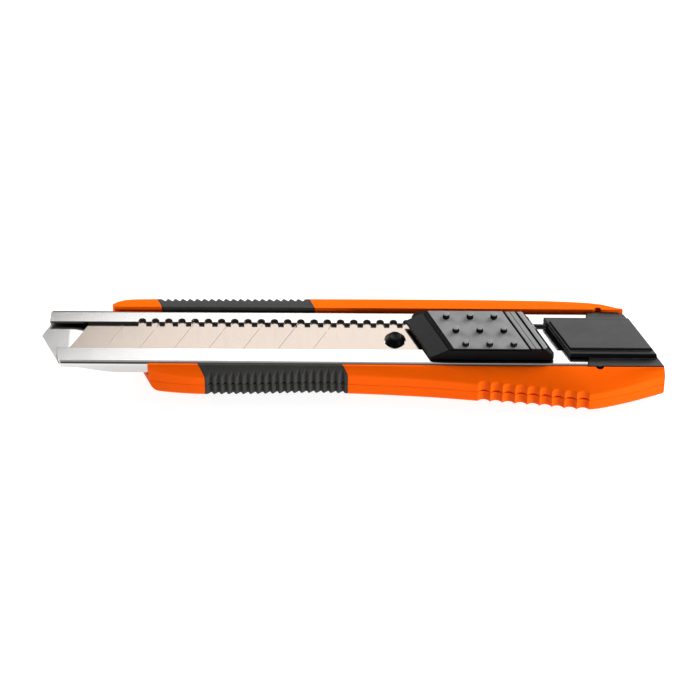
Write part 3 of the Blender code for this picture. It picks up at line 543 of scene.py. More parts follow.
def put_in_place(name, shape, finish, body, stands_for, angle=32):
    shape.transform(Matrix.Scale(MM, 4))
    shape.transform(Matrix.Translation(CENTRE))
    mesh = bpy.data.meshes.new(name)
    shape.to_mesh(mesh)
    shape.free()
    mesh.materials.append(finish)
    mesh.shade_smooth()
    mesh.set_sharp_from_angle(angle=math.radians(angle))
    piece = bpy.data.objects.new(name, mesh)
    bpy.context.collection.objects.link(piece)
    weights = piece.modifiers.new("even_shading", "WEIGHTED_NORMAL")
    weights.keep_sharp = True
    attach(piece, body)
    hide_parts(stands_for)
    print(f"{name}: {len(mesh.polygons)} faces")
    return piece


# %% [markdown]
# ## The handle's cross-section
# The near side has no rim: from the channel it falls in a hollow bevel to a crease, and then drops
# straight down. The far side has a flat rim with a rounded outer edge. The crease rises where a rib or a
# flute takes the wall back, which gives the flutes their arched tops.

# %% The two sides of the section
BEVEL_START = POCKET + 0.2
RIM_ROUND = 1.0
CREASE_ROUND = 0.45
SEAM = 0.04
SEAM_OPENING = 0.3


def bevel_height(x, reach):
    """The near bevel's height at a distance from the centre line."""
    share = (reach - BEVEL_START) / (through(NEAR_POINTS, x) - BEVEL_START)
    return TOP - through(CREASE_POINTS, x) * (0.5 * share + 0.5 * share**2)


def near_side(x, depth):
    """The near side's outer line, from the channel over the crease and down to the split."""
    wall = through(NEAR_POINTS, x) - depth
    bottom = SPLIT + SEAM + SEAM_OPENING * depth
    crease = (-wall, bevel_height(x, wall))
    points = rounded((-POCKET, TOP - 2), (-POCKET, TOP), (-BEVEL_START, TOP), 0.12, 3)
    for i in range(7):
        reach = BEVEL_START + (wall - BEVEL_START - CREASE_ROUND) * i / 7
        points.append((-reach, bevel_height(x, reach)))
    points += rounded(points[-1], crease, (-wall, bottom), CREASE_ROUND, 5)
    points += rounded(crease, (-wall, bottom), (0, bottom), 0.06, 2)
    return points


def far_side(x, depth):
    """The far side's outer line, from the split up and over the rim to the channel."""
    wall = through(FAR_POINTS, x) - depth
    bottom = SPLIT + SEAM + SEAM_OPENING * depth
    rim = min(RIM_ROUND, (wall - POCKET) * 0.45)
    points = rounded((0, bottom), (wall, bottom), (wall, RIM_TOP), 0.06, 2)
    points += rounded((wall, bottom), (wall, RIM_TOP), (POCKET, RIM_TOP), rim, 6)
    points += rounded((wall, RIM_TOP), (POCKET, RIM_TOP), (POCKET, TOP), 0.18, 3)
    return points


print("crease height at the middle:", round(bevel_height(0, through(NEAR_POINTS, 0)), 2), "mm")

# %% [markdown]
# ## Slanted ends and grip joints
# From above, both ends of the handle are cut at a slant, and so are the joints between plastic and
# rubber. They are all upright planes, so a point and a direction describe each.

# %% Planes for the ends and joints
FRONT_LINE = (Vector((-57.2, -11.4, 0)), Vector((-68.2, 11.2, 0)))
REAR_LINE = (Vector((76.4, 11.3, 0)), Vector((87.9, -11.4, 0)))
NEAR_GRIP = (-43.5, -2.8, 0.9)
FAR_GRIP = (-54.3, -10.8, -0.45)
NEAR_CORE, FAR_CORE, GRIP_SEAT = 11.0, 12.2, 9.6
HANDLE_START, HANDLE_END = -71, 91
CATCH_X, CATCH_BOTTOM, CATCH_RADIUS = 69.6, 9.0, 1.2


def outwards(line):
    """The level direction at right angles to a line, pointing away from the handle."""
    along = (line[1] - line[0]).normalized()
    return Vector((-along.y, along.x, 0))


def cut_ends(shape):
    for line in (FRONT_LINE, REAR_LINE):
        shape = sawn(shape, line[0], outwards(line))
    return shape


def grip_ends(sign, grip, clear):
    """Points and outward directions of a grip's two slanted ends."""
    start, end, lean = grip
    facing = Vector((1, -lean * sign, 0)).normalized()
    first = Vector((start, sign * POCKET, 0)) - facing * clear
    last = Vector((end, sign * POCKET, 0)) + facing * clear
    return (first, -facing), (last, facing)


print("front end faces", [round(part, 2) for part in outwards(FRONT_LINE)])

# %% [markdown]
# ## The upper half of the handle
# It is one long moulding with a trough for the channel. It is drawn along X with both sides complete,
# and then the seats for the rubber are carved out, because their ends slant and an outline can't.

# %% Draw the upper half


def frame_outline(x):
    trough = [(POCKET, POCKET_FLOOR), (-POCKET, POCKET_FLOOR)]
    return trough + near_side(x, flute_depth(x)) + far_side(x, 0)


def grip_seat(sign, grip, core):
    """The space that a grip takes from the frame."""
    ring = [(sign * y, z) for y, z in ((POCKET - 1, 20), (POCKET - 1, GRIP_SEAT), (core, GRIP_SEAT),
                                       (core, 0), (24, 0), (24, 20))]
    space = along_x(lambda x: ring, (grip[0] - 30, grip[1] + 30))
    for point, facing in grip_ends(sign, grip, 0.06):
        space = sawn(space, point, facing)
    return space


shape = cut_ends(along_x(frame_outline, stations(HANDLE_START, HANDLE_END, flute_places)))
shape = carved(shape, grip_seat(-1, NEAR_GRIP, NEAR_CORE))
shape = carved(shape, grip_seat(1, FAR_GRIP, FAR_CORE))
recess = [(0, CATCH_BOTTOM), (CATCH_RADIUS, CATCH_BOTTOM), (CATCH_RADIUS, 20), (0, 20)]
shape = carved(shape, merged([turned(recess, CATCH_X, sign * CHANNEL_HALF) for sign in (-1, 1)]))
put_in_place("upper_shell", shape, ORANGE, "handle", "handle_frame")

# %% [markdown]
# ## The rubber on the upper half
# Each side grip hooks over the top of the frame's wall and hangs down outside it. It has the same outer
# line as the plastic beside it, so the joint is flush, and its wall carries the ribs.

# %% Draw the side grips


def near_grip_outline(x):
    hook = [(-POCKET, GRIP_SEAT + CLEARANCE)]
    inside = [(-NEAR_CORE - CLEARANCE, SPLIT + CLEARANCE), (-NEAR_CORE - CLEARANCE, GRIP_SEAT + CLEARANCE)]
    return hook + near_side(x, rib_depth(NEAR_RIBS, x)) + inside


def far_grip_outline(x):
    inside = [(FAR_CORE + CLEARANCE, GRIP_SEAT + CLEARANCE), (FAR_CORE + CLEARANCE, SPLIT + CLEARANCE)]
    hook = [(POCKET, GRIP_SEAT + CLEARANCE)]
    return inside + far_side(x, rib_depth(FAR_RIBS, x)) + hook


def side_grip(outline, sign, grip, rows):
    shape = along_x(outline, stations(grip[0] - 6, grip[1] + 8, rows))
    for point, facing in grip_ends(sign, grip, 0):
        shape = sawn(shape, point, facing)
    return shape


near_shape = side_grip(near_grip_outline, -1, NEAR_GRIP, near_rib_places)
put_in_place("near_rubber", near_shape, RUBBER, "handle", "frame_grip_near")
far_shape = side_grip(far_grip_outline, 1, FAR_GRIP, far_rib_places)
put_in_place("far_rubber", far_shape, RUBBER, "handle", "frame_grip_far")

# %% [markdown]
# ## The lower half of the handle
# The cover closes the handle from below. Its lower edges are well rounded, and its nose curves up so
# that the blade can be laid flat on the work. The curved nose is carved with one long tool that follows
# the slanted end.

# %% Draw the cover
UNDERSIDE_ROUND = 2.0
FRONT_ROUND = 4.5
SCREWS = ((-48.0, -6.0), (10.4, 0.0), (38.4, 0.0), (66.4, 0.0))
COVER_FLOOR = 2.8
CELL_FIRST, CELL_PITCH, CELL_LENGTH, CELL_HALF, CELL_COUNT = -52.0, 14.0, 12.8, 8.5, 9
BAND_START, BAND_END = -66, 6
JOINT_CLEAR = 0.06


def lower_outline(x, near_depth, far_depth):
    near = through(NEAR_POINTS, x) - near_depth
    far = through(FAR_POINTS, x) - far_depth
    near_top = SPLIT - SEAM - SEAM_OPENING * near_depth
    far_top = SPLIT - SEAM - SEAM_OPENING * far_depth
    points = rounded((0, near_top), (-near, near_top), (-near, 0), 0.06, 2)
    points += rounded((-near, near_top), (-near, 0), (0, 0), UNDERSIDE_ROUND, 8)
    points += rounded((0, 0), (far, 0), (far, far_top), UNDERSIDE_ROUND, 8)
    return points + rounded((far, 0), (far, far_top), (0, far_top), 0.06, 2)


def end_tool(line, radius):
    """What is cleared below the rounded lower edge of a slanted end."""
    away = outwards(line)
    along = (line[1] - line[0]).normalized()
    curve = rounded((9, 0), (0, 0), (0, 9), radius * 1.15, 10)
    profile = [(-8, -4), (9, -4), *curve, (-8, 20)]
    rings = []
    for reach in (-12, 12):
        base = line[0] if reach < 0 else line[1]
        rings.append([tuple(base + along * reach - away * s + Vector((0, 0, z))) for s, z in profile])
    return drawn_out(rings)


def under_grip_planes(clear):
    """The band of rubber under the cover runs from the near grip's ends to the far grip's."""
    planes = []
    for side, direction in ((0, -1), (1, 1)):
        ends = []
        for sign, grip, points in ((-1, NEAR_GRIP, NEAR_POINTS), (1, FAR_GRIP, FAR_POINTS)):
            reach = through(points, grip[side])
            ends.append(Vector((grip[side] + grip[2] * (reach - POCKET), sign * reach, 0)))
        along = (ends[1] - ends[0]).normalized()
        facing = Vector((along.y, -along.x, 0)) * direction
        planes.append((ends[0] + facing * clear, facing))
    return planes


GRIP_SKIN = 1.3
cover_shape = along_x(lambda x: lower_outline(x, flute_depth(x), 0),
                      stations(HANDLE_START, HANDLE_END, flute_places))
cover_shape = cut_ends(cover_shape)
cover_shape = carved(cover_shape, end_tool(FRONT_LINE, FRONT_ROUND))
cover_shape = carved(cover_shape, end_tool(REAR_LINE, UNDERSIDE_ROUND))
print("cover drawn:", len(cover_shape.faces), "faces")

# %% [markdown]
# The band for the rubber is the space outside the cover's core. It is drawn as a thick U around the
# core and sawn to the same slanted planes as the rubber, a hair wider. Ribs that core the moulding out
# from above, and stepped screw holes from below, are carved last.

# %% Carve the cover


def band_outline(x, skin):
    near, far = through(NEAR_POINTS, x) - skin, through(FAR_POINTS, x) - skin
    return [(-24, -3), (24, -3), (24, 9), (far, 9), (far, skin), (-near, skin), (-near, 9), (-24, 9)]


band = along_x(lambda x: band_outline(x, GRIP_SKIN + CLEARANCE), stations(BAND_START, BAND_END))
for point, facing in under_grip_planes(JOINT_CLEAR):
    band = sawn(band, point, facing)
cover_shape = carved(cover_shape, band)
cells = []
for i in range(CELL_COUNT):
    x = CELL_FIRST + i * CELL_PITCH
    cells.append(slab(x, x + CELL_LENGTH, -CELL_HALF, CELL_HALF, COVER_FLOOR, 7))
cover_shape = carved(cover_shape, merged(cells))
screw_hole = [(0, -1), (2.2, -1), (2.2, 1.9), (1.15, 1.9), (1.15, 4), (0, 4)]
cover_shape = carved(cover_shape, merged([turned(screw_hole, x, y) for x, y in SCREWS]))
put_in_place("lower_shell", cover_shape, ORANGE, "handle", "back_cover")

# %% [markdown]
# ## The rubber under the cover
# It is the third part of the soft grip, a ribbed U-shaped skin that wraps the cover.

# %% Draw the lower grip


def under_grip_outline(x):
    near, far = through(NEAR_POINTS, x) - GRIP_SKIN, through(FAR_POINTS, x) - GRIP_SKIN
    outside = lower_outline(x, rib_depth(NEAR_RIBS, x), rib_depth(FAR_RIBS, x))
    return outside + [(far, SPLIT - 0.4), (far, GRIP_SKIN), (-near, GRIP_SKIN), (-near, SPLIT - 0.4)]


shape = along_x(under_grip_outline, stations(BAND_START, BAND_END, near_rib_places, far_rib_places))
for point, facing in under_grip_planes(0):
    shape = sawn(shape, point, facing)
put_in_place("under_rubber", shape, RUBBER, "handle", "back_grip")

# %% [markdown]
# ## The channel
# A strip of steel is folded into a trough with inward flanges. Near the nose the floor rises, so that
# the blade leaves the knife close to the work. The flange edge is punched with a row of round notches for
# the lock. The folds are drawn in the outline, and the nose and the notches are cut afterwards, as they
# are on the real strip.

# %% Fold the channel
SHEET, BEND = 0.8, 1.15
CHANNEL_DEPTH = TOP - channel_low.z
NOSE_DEPTH = 2.5
NOSE_RAMP = (-80.0, -66.0)
NEAR_FLANGE, FAR_FLANGE = -4.5, 5.6
NOTCH_FIRST, NOTCH_PITCH, NOTCH_COUNT = -59.7, 3.75, 29
NOTCH_RADIUS, NOTCH_START, NOTCH_CENTRE = 1.1, 4.6, 5.9
NOSE_PLAN = [(-95, -13), (-80.6, -13), (-88.0, 1.6), (-85.9, 5.6), (-85.8, 8.8), (-85.2, 9.9), (-84.2, 10.6),
             (-84.2, 13), (-95, 13)]
LIP_PLAN = [(-95, -3.5), (-83.9, -3.5), (-82.2, -11.2), (-95, -11.2)]
CHANNEL_START = -88.5
RIVETS = ((-42.0, 3.0), (52.4, 0.0))


def ramp_bottom(x):
    t = min(max((x - NOSE_RAMP[0]) / (NOSE_RAMP[1] - NOSE_RAMP[0]), 0), 1)
    return TOP - NOSE_DEPTH - (CHANNEL_DEPTH - NOSE_DEPTH) * t * t * (3 - 2 * t)


def channel_outline(x):
    low, out, inside = ramp_bottom(x), CHANNEL_HALF, CHANNEL_HALF - SHEET
    under = TOP - SHEET
    lip = 0.1
    points = rounded((NEAR_FLANGE, under), (NEAR_FLANGE, TOP), (-out, TOP), lip, 2)
    points += rounded((0, TOP), (-out, TOP), (-out, low), BEND, 8)
    points += rounded((-out, TOP), (-out, low), (0, low), BEND, 8)
    points += rounded((0, low), (out, low), (out, TOP), BEND, 8)
    points += rounded((out, low), (out, TOP), (0, TOP), BEND, 8)
    points += rounded((out, TOP), (FAR_FLANGE, TOP), (FAR_FLANGE, under), lip, 2)
    points += [(FAR_FLANGE, under), (inside, under), (inside, low + SHEET), (-inside, low + SHEET)]
    return points + [(-inside, under), (NEAR_FLANGE, under)]


ramp_places = [NOSE_RAMP[0] + i for i in range(int(NOSE_RAMP[1] - NOSE_RAMP[0]) + 1)]
channel_shape = along_x(channel_outline, stations(CHANNEL_START, channel_high.x, ramp_places))
channel_shape = carved(channel_shape, upright(NOSE_PLAN, 0, 20))
print("channel folded, length", round(channel_high.x - channel_low.x, 1), "mm")

# %% [markdown]
# The near flange is cut back at the nose, which frees the tip of the blade. Each notch is a round end
# with straight sides, and the rivets' heads sink into cones in the floor.

# %% Punch the channel


def arc(x, y, radius, start, end, steps):
    """Points on a circle, from one angle to another in degrees."""
    angles = [math.radians(start + (end - start) * i / steps) for i in range(steps + 1)]
    return [(x + radius * math.cos(a), y + radius * math.sin(a)) for a in angles]


channel_shape = carved(channel_shape, upright(LIP_PLAN, TOP - SHEET - 0.4, 20))
notches = []
for i in range(NOTCH_COUNT):
    x = NOTCH_FIRST + i * NOTCH_PITCH
    plan = [(x - NOTCH_RADIUS, NOTCH_START), (x + NOTCH_RADIUS, NOTCH_START)]
    plan += arc(x, NOTCH_CENTRE, NOTCH_RADIUS, 0, 180, 20)
    notches.append(upright(plan, TOP - SHEET - 0.3, 14))
channel_shape = carved(channel_shape, merged(notches))
cone = [(0, 5), (1.3, 5), (1.3, channel_low.z), (2.0, channel_low.z + SHEET), (2.0, 8), (0, 8)]
channel_shape = carved(channel_shape, merged([turned(cone, x, y) for x, y in RIVETS]))
put_in_place("folded_channel", channel_shape, CHANNEL_STEEL, "handle", "blade_channel", 28)

# %% [markdown]
# ## The blade
# A snap-off blade is a long ground strip cut at a slant, with a bevelled cutting edge and shallow scores
# where a worn tip is broken off. The strip is drawn along X and leans as it goes, and a score is a
# station where the top dips.

# %% Grind and score the blade
LEAN = 1 / math.tan(math.radians(61))
BLADE_LENGTH = 100.0
SEGMENT, SEGMENT_COUNT = 9.8, 8
SCORE_HALF, SCORE_DEPTH = 0.15, 0.05
GRIND, EDGE = 1.6, 0.2
HOLE = 3.1
STUD_X = 12.0


def blade_ring(along, dip):
    half = blade_high.y
    low, high = blade_low.z, blade_high.z
    outline = [(-half, low + EDGE), (-half + GRIND, low), (half, low), (half, high - dip)]
    outline += [(-half + GRIND, high - dip), (-half, high - EDGE)]
    return [(blade_low.x + along + LEAN * (y + half), y, z) for y, z in outline]


blade_rings = [blade_ring(0, 0)]
for i in range(1, SEGMENT_COUNT):
    for side, dip in ((-SCORE_HALF, 0), (0, SCORE_DEPTH), (SCORE_HALF, 0)):
        blade_rings.append(blade_ring(i * SEGMENT + side, dip))
blade_rings.append(blade_ring(BLADE_LENGTH, 0))
hole = turned([(0, 8), (HOLE, 8), (HOLE, 12), (0, 12)], STUD_X, 0, 48)
blade_shape = carved(drawn_out(blade_rings), hole)
put_in_place("ground_blade", blade_shape, BLADE_STEEL, "carriage", "blade", 8)

# %% [markdown]
# ## The stud
# The blade hangs on a round black stud. It is turned from a profile whose corners are rounded, because
# its cap catches the light.

# %% Turn the stud
stud_low, stud_high = corners("blade_stud")
stud_base = blade_low.z + 0.1
profile = [(0, stud_low.z), (1.0, stud_low.z), (1.2, stud_low.z + 0.3), (1.2, stud_base), (2.75, stud_base)]
profile += rounded((2.8, stud_base), (2.85, blade_high.z + 0.25), (1.75, stud_high.z), 0.3, 4)
profile += rounded((2.85, blade_high.z), (1.72, stud_high.z), (0, stud_high.z), 0.3, 5)
profile += rounded((1.72, stud_high.z), (1.15, stud_high.z), (1.0, stud_high.z - 0.12), 0.08, 2)
profile += [(1.0, stud_high.z - 0.1), (0, stud_high.z - 0.1)]
put_in_place("round_stud", turned(profile, STUD_X, 0, 48), SATIN_BLACK, "carriage", "blade_stud")

# %% [markdown]
# ## The slider
# The slider's body is drawn across the knife from a side profile and leans back as it goes. Its long
# edges are softened before the grooves are cut, because a bevel of one width needs edges of like size.

# %% Draw the slider's body
SLIDER_LEAN = 0.51
SLIDER_NEAR, SLIDER_FAR = slider_low.y, 5.9
SLIDER_BOTTOM = TOP + CLEARANCE
SLIDER_TOP = slider_high.z
PAD_BOTTOM = SLIDER_TOP - 0.6
PAD_SEAT = PAD_BOTTOM - CLEARANCE
SLIDER_FLOOR = SLIDER_BOTTOM + 1.0
NECK = (34.8, 48.5, -4.1, 5.0)
SLIDER_FOOT, SLOPE_END, SLIDER_REAR, REAR_HEIGHT = 17.7, 22.8, 52.7, 13.6
RIDGE_FRONT, RIDGE_REAR = 45.8, 50.7
REAR_ROUND, LONG_ROUND = 1.3, 0.3
SKIRT_PLAN = ((48.3, 8.7), (50.0, 5.0), (17.2, 5.0))
SKIRT_TOP = TOP + 1.8

side = [(SLIDER_FOOT, SLIDER_BOTTOM), (SLIDER_REAR, SLIDER_BOTTOM), (SLIDER_REAR, REAR_HEIGHT)]
side += [(RIDGE_REAR, SLIDER_TOP), (RIDGE_FRONT, SLIDER_TOP), (RIDGE_FRONT, PAD_SEAT)]
side += [(SLOPE_END, PAD_SEAT), (SLIDER_FOOT, SLIDER_BOTTOM + 0.6)]
slider_shape = across(side, SLIDER_NEAR, SLIDER_FAR, SLIDER_LEAN)


def rear_corner(edge):
    """True for the near upright edges at the slider's rear."""
    places = [vert.co for vert in edge.verts]
    near = all(place.y < SLIDER_NEAR + 0.01 for place in places)
    rear = all(place.x + SLIDER_LEAN * place.y > RIDGE_REAR - 0.5 for place in places)
    return near and rear and abs(places[0].z - places[1].z) > 1


upright_edges = [edge for edge in slider_shape.edges if rear_corner(edge)]
slider_shape = softened(slider_shape, REAR_ROUND, 5, upright_edges)
slider_shape = softened(slider_shape, LONG_ROUND)
skirt = upright([*arc(19.2, 6.1, 2.6, 180, 90, 10), *SKIRT_PLAN], SLIDER_BOTTOM, SKIRT_TOP)
slider_shape = carved(slider_shape, softened(skirt, LONG_ROUND), "UNION")
neck = slab(*NECK, TOP - SHEET, SLIDER_FLOOR - 0.1)
slider_shape = carved(slider_shape, neck, "UNION")
print("slider body:", len(slider_shape.faces), "faces")

# %% [markdown]
# Two grooves behind the pad give the thumb a ridge to pull on. Under the pad there are pockets for the
# pawl, the pad's lug and the screws, which only show when the pad slides forward.

# %% Cut the slider's grooves and pockets
PAWL_X = NOTCH_FIRST + 24 * NOTCH_PITCH
SLIDER_SCREWS = ((38.0, 3.3), (45.2, -2.9))
GROOVES = ((48.65, 49.35, 0.8), (47.1, 47.3, 0.3))

for start, end, depth in GROOVES:
    groove = [(start, SLIDER_TOP - depth), (end, SLIDER_TOP - depth), (end + 0.1, 20), (start - 0.1, 20)]
    slider_shape = carved(slider_shape, across(groove, -12, 12, SLIDER_LEAN))
pockets = [
    slab(PAWL_X - 3.8, PAWL_X + 3.8, -5.2, 3.9, SLIDER_FLOOR, 18),
    slab(36.9, 43.4, -2.8, 0.6, SLIDER_FLOOR, 18),
]
slider_shape = carved(slider_shape, merged(pockets))
slider_shape = carved(slider_shape, slab(PAWL_X - 1.15, PAWL_X + 1.15, 3.0, 5.5, SLIDER_FLOOR - 0.05, 18))
slider_shape = carved(slider_shape, slab(PAWL_X - 1.15, PAWL_X + 1.15, 1.4, 6.95, 10, 12.5))
slider_shape = carved(slider_shape, slab(PAWL_X - 1.2, PAWL_X + 1.2, -7.6, -5.0, SLIDER_FLOOR + 0.05, 18))
bore = [(0, 9), (1.1, 9), (1.1, SLIDER_FLOOR), (1.7, SLIDER_FLOOR), (1.7, 18), (0, 18)]
slider_shape = carved(slider_shape, merged([turned(bore, x, y) for x, y in SLIDER_SCREWS]))
put_in_place("slider_body", slider_shape, SATIN_BLACK, "carriage", "slider_base")

# %% [markdown]
# ## The thumb pad
# The pad is a thin leaning plate with nine studs for grip. Each stud is turned from a profile that flares
# at its foot and is rounded at its top, so it takes a small highlight as a moulded stud does.

# %% Draw the pad and its studs
pad_top = corners("thumb_pad")[1].z
PAD_FRONT, PAD_REAR, PAD_CHAMFER = 23.0, 45.2, 1.6
STUD_ROWS, STUD_COLUMNS = 3, 3
STUD_FIRST, STUD_SHIFT = Vector((26.4, 3.4)), Vector((2.7, -5.3))
STUD_PITCH = 6.74

profile = [(PAD_FRONT, PAD_BOTTOM), (PAD_REAR, PAD_BOTTOM), (PAD_REAR, SLIDER_TOP)]
profile += [(PAD_FRONT + PAD_CHAMFER, SLIDER_TOP), (PAD_FRONT, PAD_BOTTOM + 0.15)]
pad_shape = softened(across(profile, SLIDER_NEAR, SLIDER_FAR, SLIDER_LEAN), 0.06, 2)
stud_line = [(0, SLIDER_TOP - 0.3), (1.2, SLIDER_TOP - 0.3), (1.2, SLIDER_TOP)]
stud_line += [(1.08, SLIDER_TOP + 0.06), (1.02, SLIDER_TOP + 0.18)]
stud_line += rounded((1.02, SLIDER_TOP + 0.18), (0.86, pad_top), (0, pad_top), 0.25, 5)
stud_line += [(0, pad_top)]
studs = []
for row in range(STUD_ROWS):
    for column in range(STUD_COLUMNS):
        place = STUD_FIRST + STUD_SHIFT * row
        studs.append(turned(stud_line, place.x + STUD_PITCH * column, place.y, 28))
pad_shape = carved(pad_shape, merged(studs), "UNION")
print("pad with", len(studs), "studs:", len(pad_shape.faces), "faces")

# %% [markdown]
# Two legs hang under the pad. The slanted fin draws the lock pawl back as the pad slides forward, and
# the square lug holds the end of the return spring.

# %% Add the pad's legs
PAD_TRAVEL, PAWL_TRAVEL = 1.2, 1.5
slide = Vector((-PAD_TRAVEL, PAWL_TRAVEL)).normalized()
aside = Vector((slide.y, -slide.x))
fin_centre = Vector((PAWL_X + PAD_TRAVEL / 2, 0.1 - PAWL_TRAVEL / 2))
fin_signs = ((-1, -1), (1, -1), (1, 1), (-1, 1))
fin = [tuple(fin_centre + slide * a * 0.9 + aside * b * 0.45) for a, b in fin_signs]
legs = [upright(fin, SLIDER_FLOOR + 0.4, PAD_BOTTOM + 0.2)]
legs.append(slab(41.9, 43.1, -2.3, 0.3, SLIDER_FLOOR + 0.4, PAD_BOTTOM + 0.2))
pad_shape = carved(pad_shape, merged(legs), "UNION")
put_in_place("studded_pad", pad_shape, SATIN_BLACK, "thumb_pad", "thumb_pad")

# %% [markdown]
# ## The end cap
# The cap plugs the rear of the channel. It is three leaning steps, one on the other, with a tongue that
# runs into the channel and a web that joins the two through the slot.

# %% Draw the end cap's steps
CAP_LEAN = 0.533
CAP_FRONT = channel_high.x + CLEARANCE
TONGUE = (62, 67.5)

cap_side = [(55, channel_low.z), (82.5, channel_low.z), (82.2, TOP), (55, TOP)]
cap_shape = softened(across(cap_side, -CHANNEL_HALF, CHANNEL_HALF, CAP_LEAN), 0.15, 3)
cap_shape = sawn(cap_shape, (CAP_FRONT, 0, 0), (-1, 0, 0))
ledge = [(57.4, 10.6), (82.1, 10.6), (81.6, LEDGE_TOP), (57.5, LEDGE_TOP)]
ledge_shape = softened(across(ledge, -7.4, 6.6, CAP_LEAN), 0.3, 4)
ledge_shape = carved(ledge_shape, slab(40, CAP_FRONT, -14, 14, 4, TOP + CLEARANCE))
cap_shape = carved(cap_shape, ledge_shape, "UNION")
crown = [(57.8, 12.4), (81.5, 12.4), (81.0, cap_high.z), (58.0, cap_high.z)]
cap_shape = carved(cap_shape, softened(across(crown, -6.1, 4.5, CAP_LEAN), 0.25, 4), "UNION")
print("cap steps:", len(cap_shape.faces), "faces")

# %% [markdown]
# The far rear corner is rounded in plan to follow the handle, and a small round bump on each side
# catches in the handle's wall.

# %% Finish the end cap
web = slab(*TONGUE, NECK[2], NECK[3], 9.4, TOP + 1.0)
cap_shape = carved(cap_shape, web, "UNION")
tongue_half = CHANNEL_HALF - SHEET - CLEARANCE
tongue = slab(*TONGUE, -tongue_half, tongue_half, channel_low.z + SHEET + CLEARANCE, TOP - SHEET - CLEARANCE)
cap_shape = carved(cap_shape, tongue, "UNION")
corner = [(82, 5.0), (84, 14), (75, 14), *arc(75.0, 7.3, 3.0, 90, 28, 10)]
cap_shape = carved(cap_shape, upright(corner, 4, 18))
bump = [(0, 9.2), (1.1, 9.2), (1.1, TOP - 0.1), (0, TOP - 0.1)]
bumps = merged([turned(bump, CATCH_X, sign * (CHANNEL_HALF - 0.9)) for sign in (-1, 1)])
cap_shape = carved(cap_shape, bumps, "UNION")
put_in_place("stepped_cap", cap_shape, DULL_BLACK, "end_cap", "end_cap")

# %% [markdown]
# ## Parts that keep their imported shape
# The carrier, the pawl, the springs, the rivets and the screws are hidden or tiny, and their packed
# shape is right. They only need their finish.

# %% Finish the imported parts
PACKED_FINISHES = {
    "blade_carrier": CHANNEL_STEEL, "lock_pawl": ZINC, "pad_spring": ZINC, "pawl_spring": ZINC,
    "channel_rivet_": ZINC, "cover_screw_": ZINC, "slider_screw_": ZINC,
}
for name, node in frame["nodes"].items():
    for start, finish in PACKED_FINISHES.items():
        if name.startswith(start):
            node.data.materials.clear()
            node.data.materials.append(finish)
print("packed parts finished:", sum(not node.hide_render for node in frame["nodes"].values()))

# %% [markdown]
# The two coil springs get shorter as the pad is pushed. Each stands on a fixed end, and the other end
# follows the piece that presses it, so its shortest length is its free length less that piece's travel.
# Here each spring only gets a mesh of its own; nothing in this script shortens it.

# %% Give each spring a mesh of its own
SPRINGS = (
    ("pad_spring", "thumb_pad_slide", 0, PAD_TRAVEL),
    ("pawl_spring", "lock_pawl_slide", 1, PAWL_TRAVEL),
)
for name, joint, axis, travel in SPRINGS:
    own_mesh(frame["nodes"][name])

# %% [markdown]
# ## The floor
# The knife lies on a plain pale table that is lit a little from below, as tables for small goods are. It
# keeps shadows off the ground and sends light up at the knife's sides.

# %% Lay the floor
floor_shape = bmesh.new()
bmesh.ops.create_grid(floor_shape, x_segments=2, y_segments=2, size=4)
floor_mesh = bpy.data.meshes.new("floor")
floor_shape.to_mesh(floor_mesh)
floor_shape.free()
floor = bpy.data.objects.new("floor", floor_mesh)
bpy.context.collection.objects.link(floor)
paper = Recipe("lit_table", Roughness=0.9, Emission_Color=(1, 1, 1, 1), Emission_Strength=0.88)
shade = paper.noise(3, detail=2)
tone = paper.between((0.33, 0.33, 0.33, 1), (0.36, 0.36, 0.36, 1), shade)
floor_mesh.materials.append(paper.surface(Base_Color=tone))
print("floor laid")

# %% [markdown]
# ## The camera
# A long lens some way off keeps the edges of the knife nearly parallel. The camera looks down at 47
# degrees and stands a little to the right of square.

# %% Place the camera
ELEVATION = math.radians(47)
AZIMUTH = math.radians(0.5)
LENS = 200
DISTANCE = 1.0993

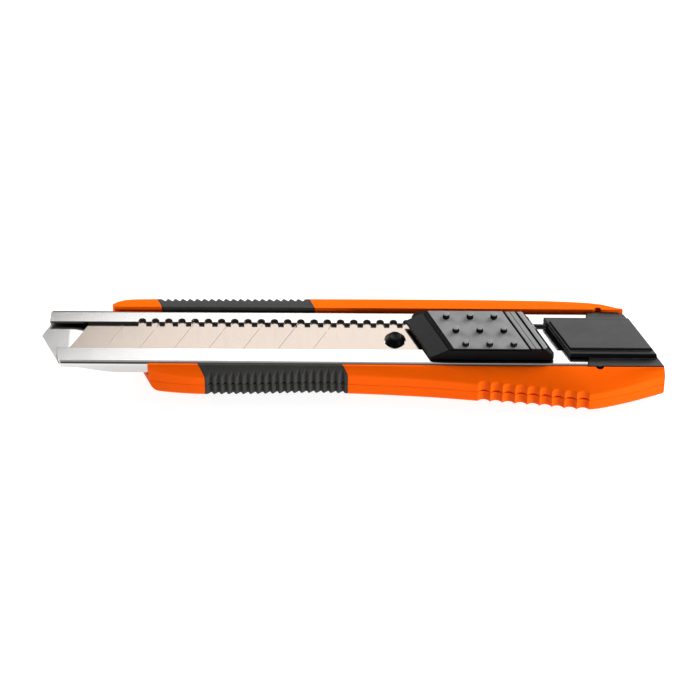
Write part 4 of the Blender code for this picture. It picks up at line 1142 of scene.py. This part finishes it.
away = Vector((math.sin(AZIMUTH) * math.cos(ELEVATION), -math.cos(AZIMUTH) * math.cos(ELEVATION),
               math.sin(ELEVATION)))
turn = (-away).to_track_quat("-Z", "Y")
right, up = turn @ Vector((1, 0, 0)), turn @ Vector((0, 1, 0))
aim = CENTRE + Vector((0, 0, TOP * MM)) - right * 0.7 * MM - up * 3.54 * MM
lens = bpy.data.cameras.new("camera")
lens.lens = LENS
camera = bpy.data.objects.new("camera", lens)
camera.location = aim + away * DISTANCE
camera.rotation_euler = turn.to_euler()
bpy.context.collection.objects.link(camera)
bpy.context.scene.camera = camera
print("camera at", [round(part, 3) for part in camera.location])

# %% [markdown]
# ## The light
# One large soft light stands behind the knife, where its bright steel mirrors it. Two smaller ones to the
# left and right bring out the ribs, a weak panel overhead lights the tops evenly, and a low strip on
# the right grazes the sides that face the camera, so that every rib has a light and a dark face.

# %% Set the lights


def soft_light(name, place, size, power, target=(0, 0, 0)):
    lamp = bpy.data.lights.new(name, "AREA")
    lamp.shape = "RECTANGLE"
    lamp.size, lamp.size_y = size
    lamp.energy = power
    thing = bpy.data.objects.new(name, lamp)
    thing.location = place
    thing.rotation_euler = (Vector(target) - Vector(place)).to_track_quat("-Z", "Y").to_euler()
    bpy.context.collection.objects.link(thing)


soft_light("back_softbox", (0.55, 0.8, 0.86), (1.5, 1.1), 9.9)
soft_light("right_window", (0.64, 0.6, 0.42), (0.7, 0.5), 13.5)
soft_light("left_window", (-0.66, 0.52, 0.44), (0.6, 0.5), 10)
soft_light("ceiling_panel", (0.0, 0.1, 1.0), (0.8, 0.8), 0.8)
soft_light("side_strip", (0.9, -0.42, 0.1), (0.4, 0.2), 9.5)
world = bpy.data.worlds.new("sky")
world.use_nodes = True
sky = world.node_tree.nodes["Background"]
sky.inputs["Color"].default_value = (1, 1, 1, 1)
sky.inputs["Strength"].default_value = 0.09
bpy.context.scene.world = world
bpy.context.scene.view_settings.view_transform = "Standard"
print("five soft lights and a dim sky")
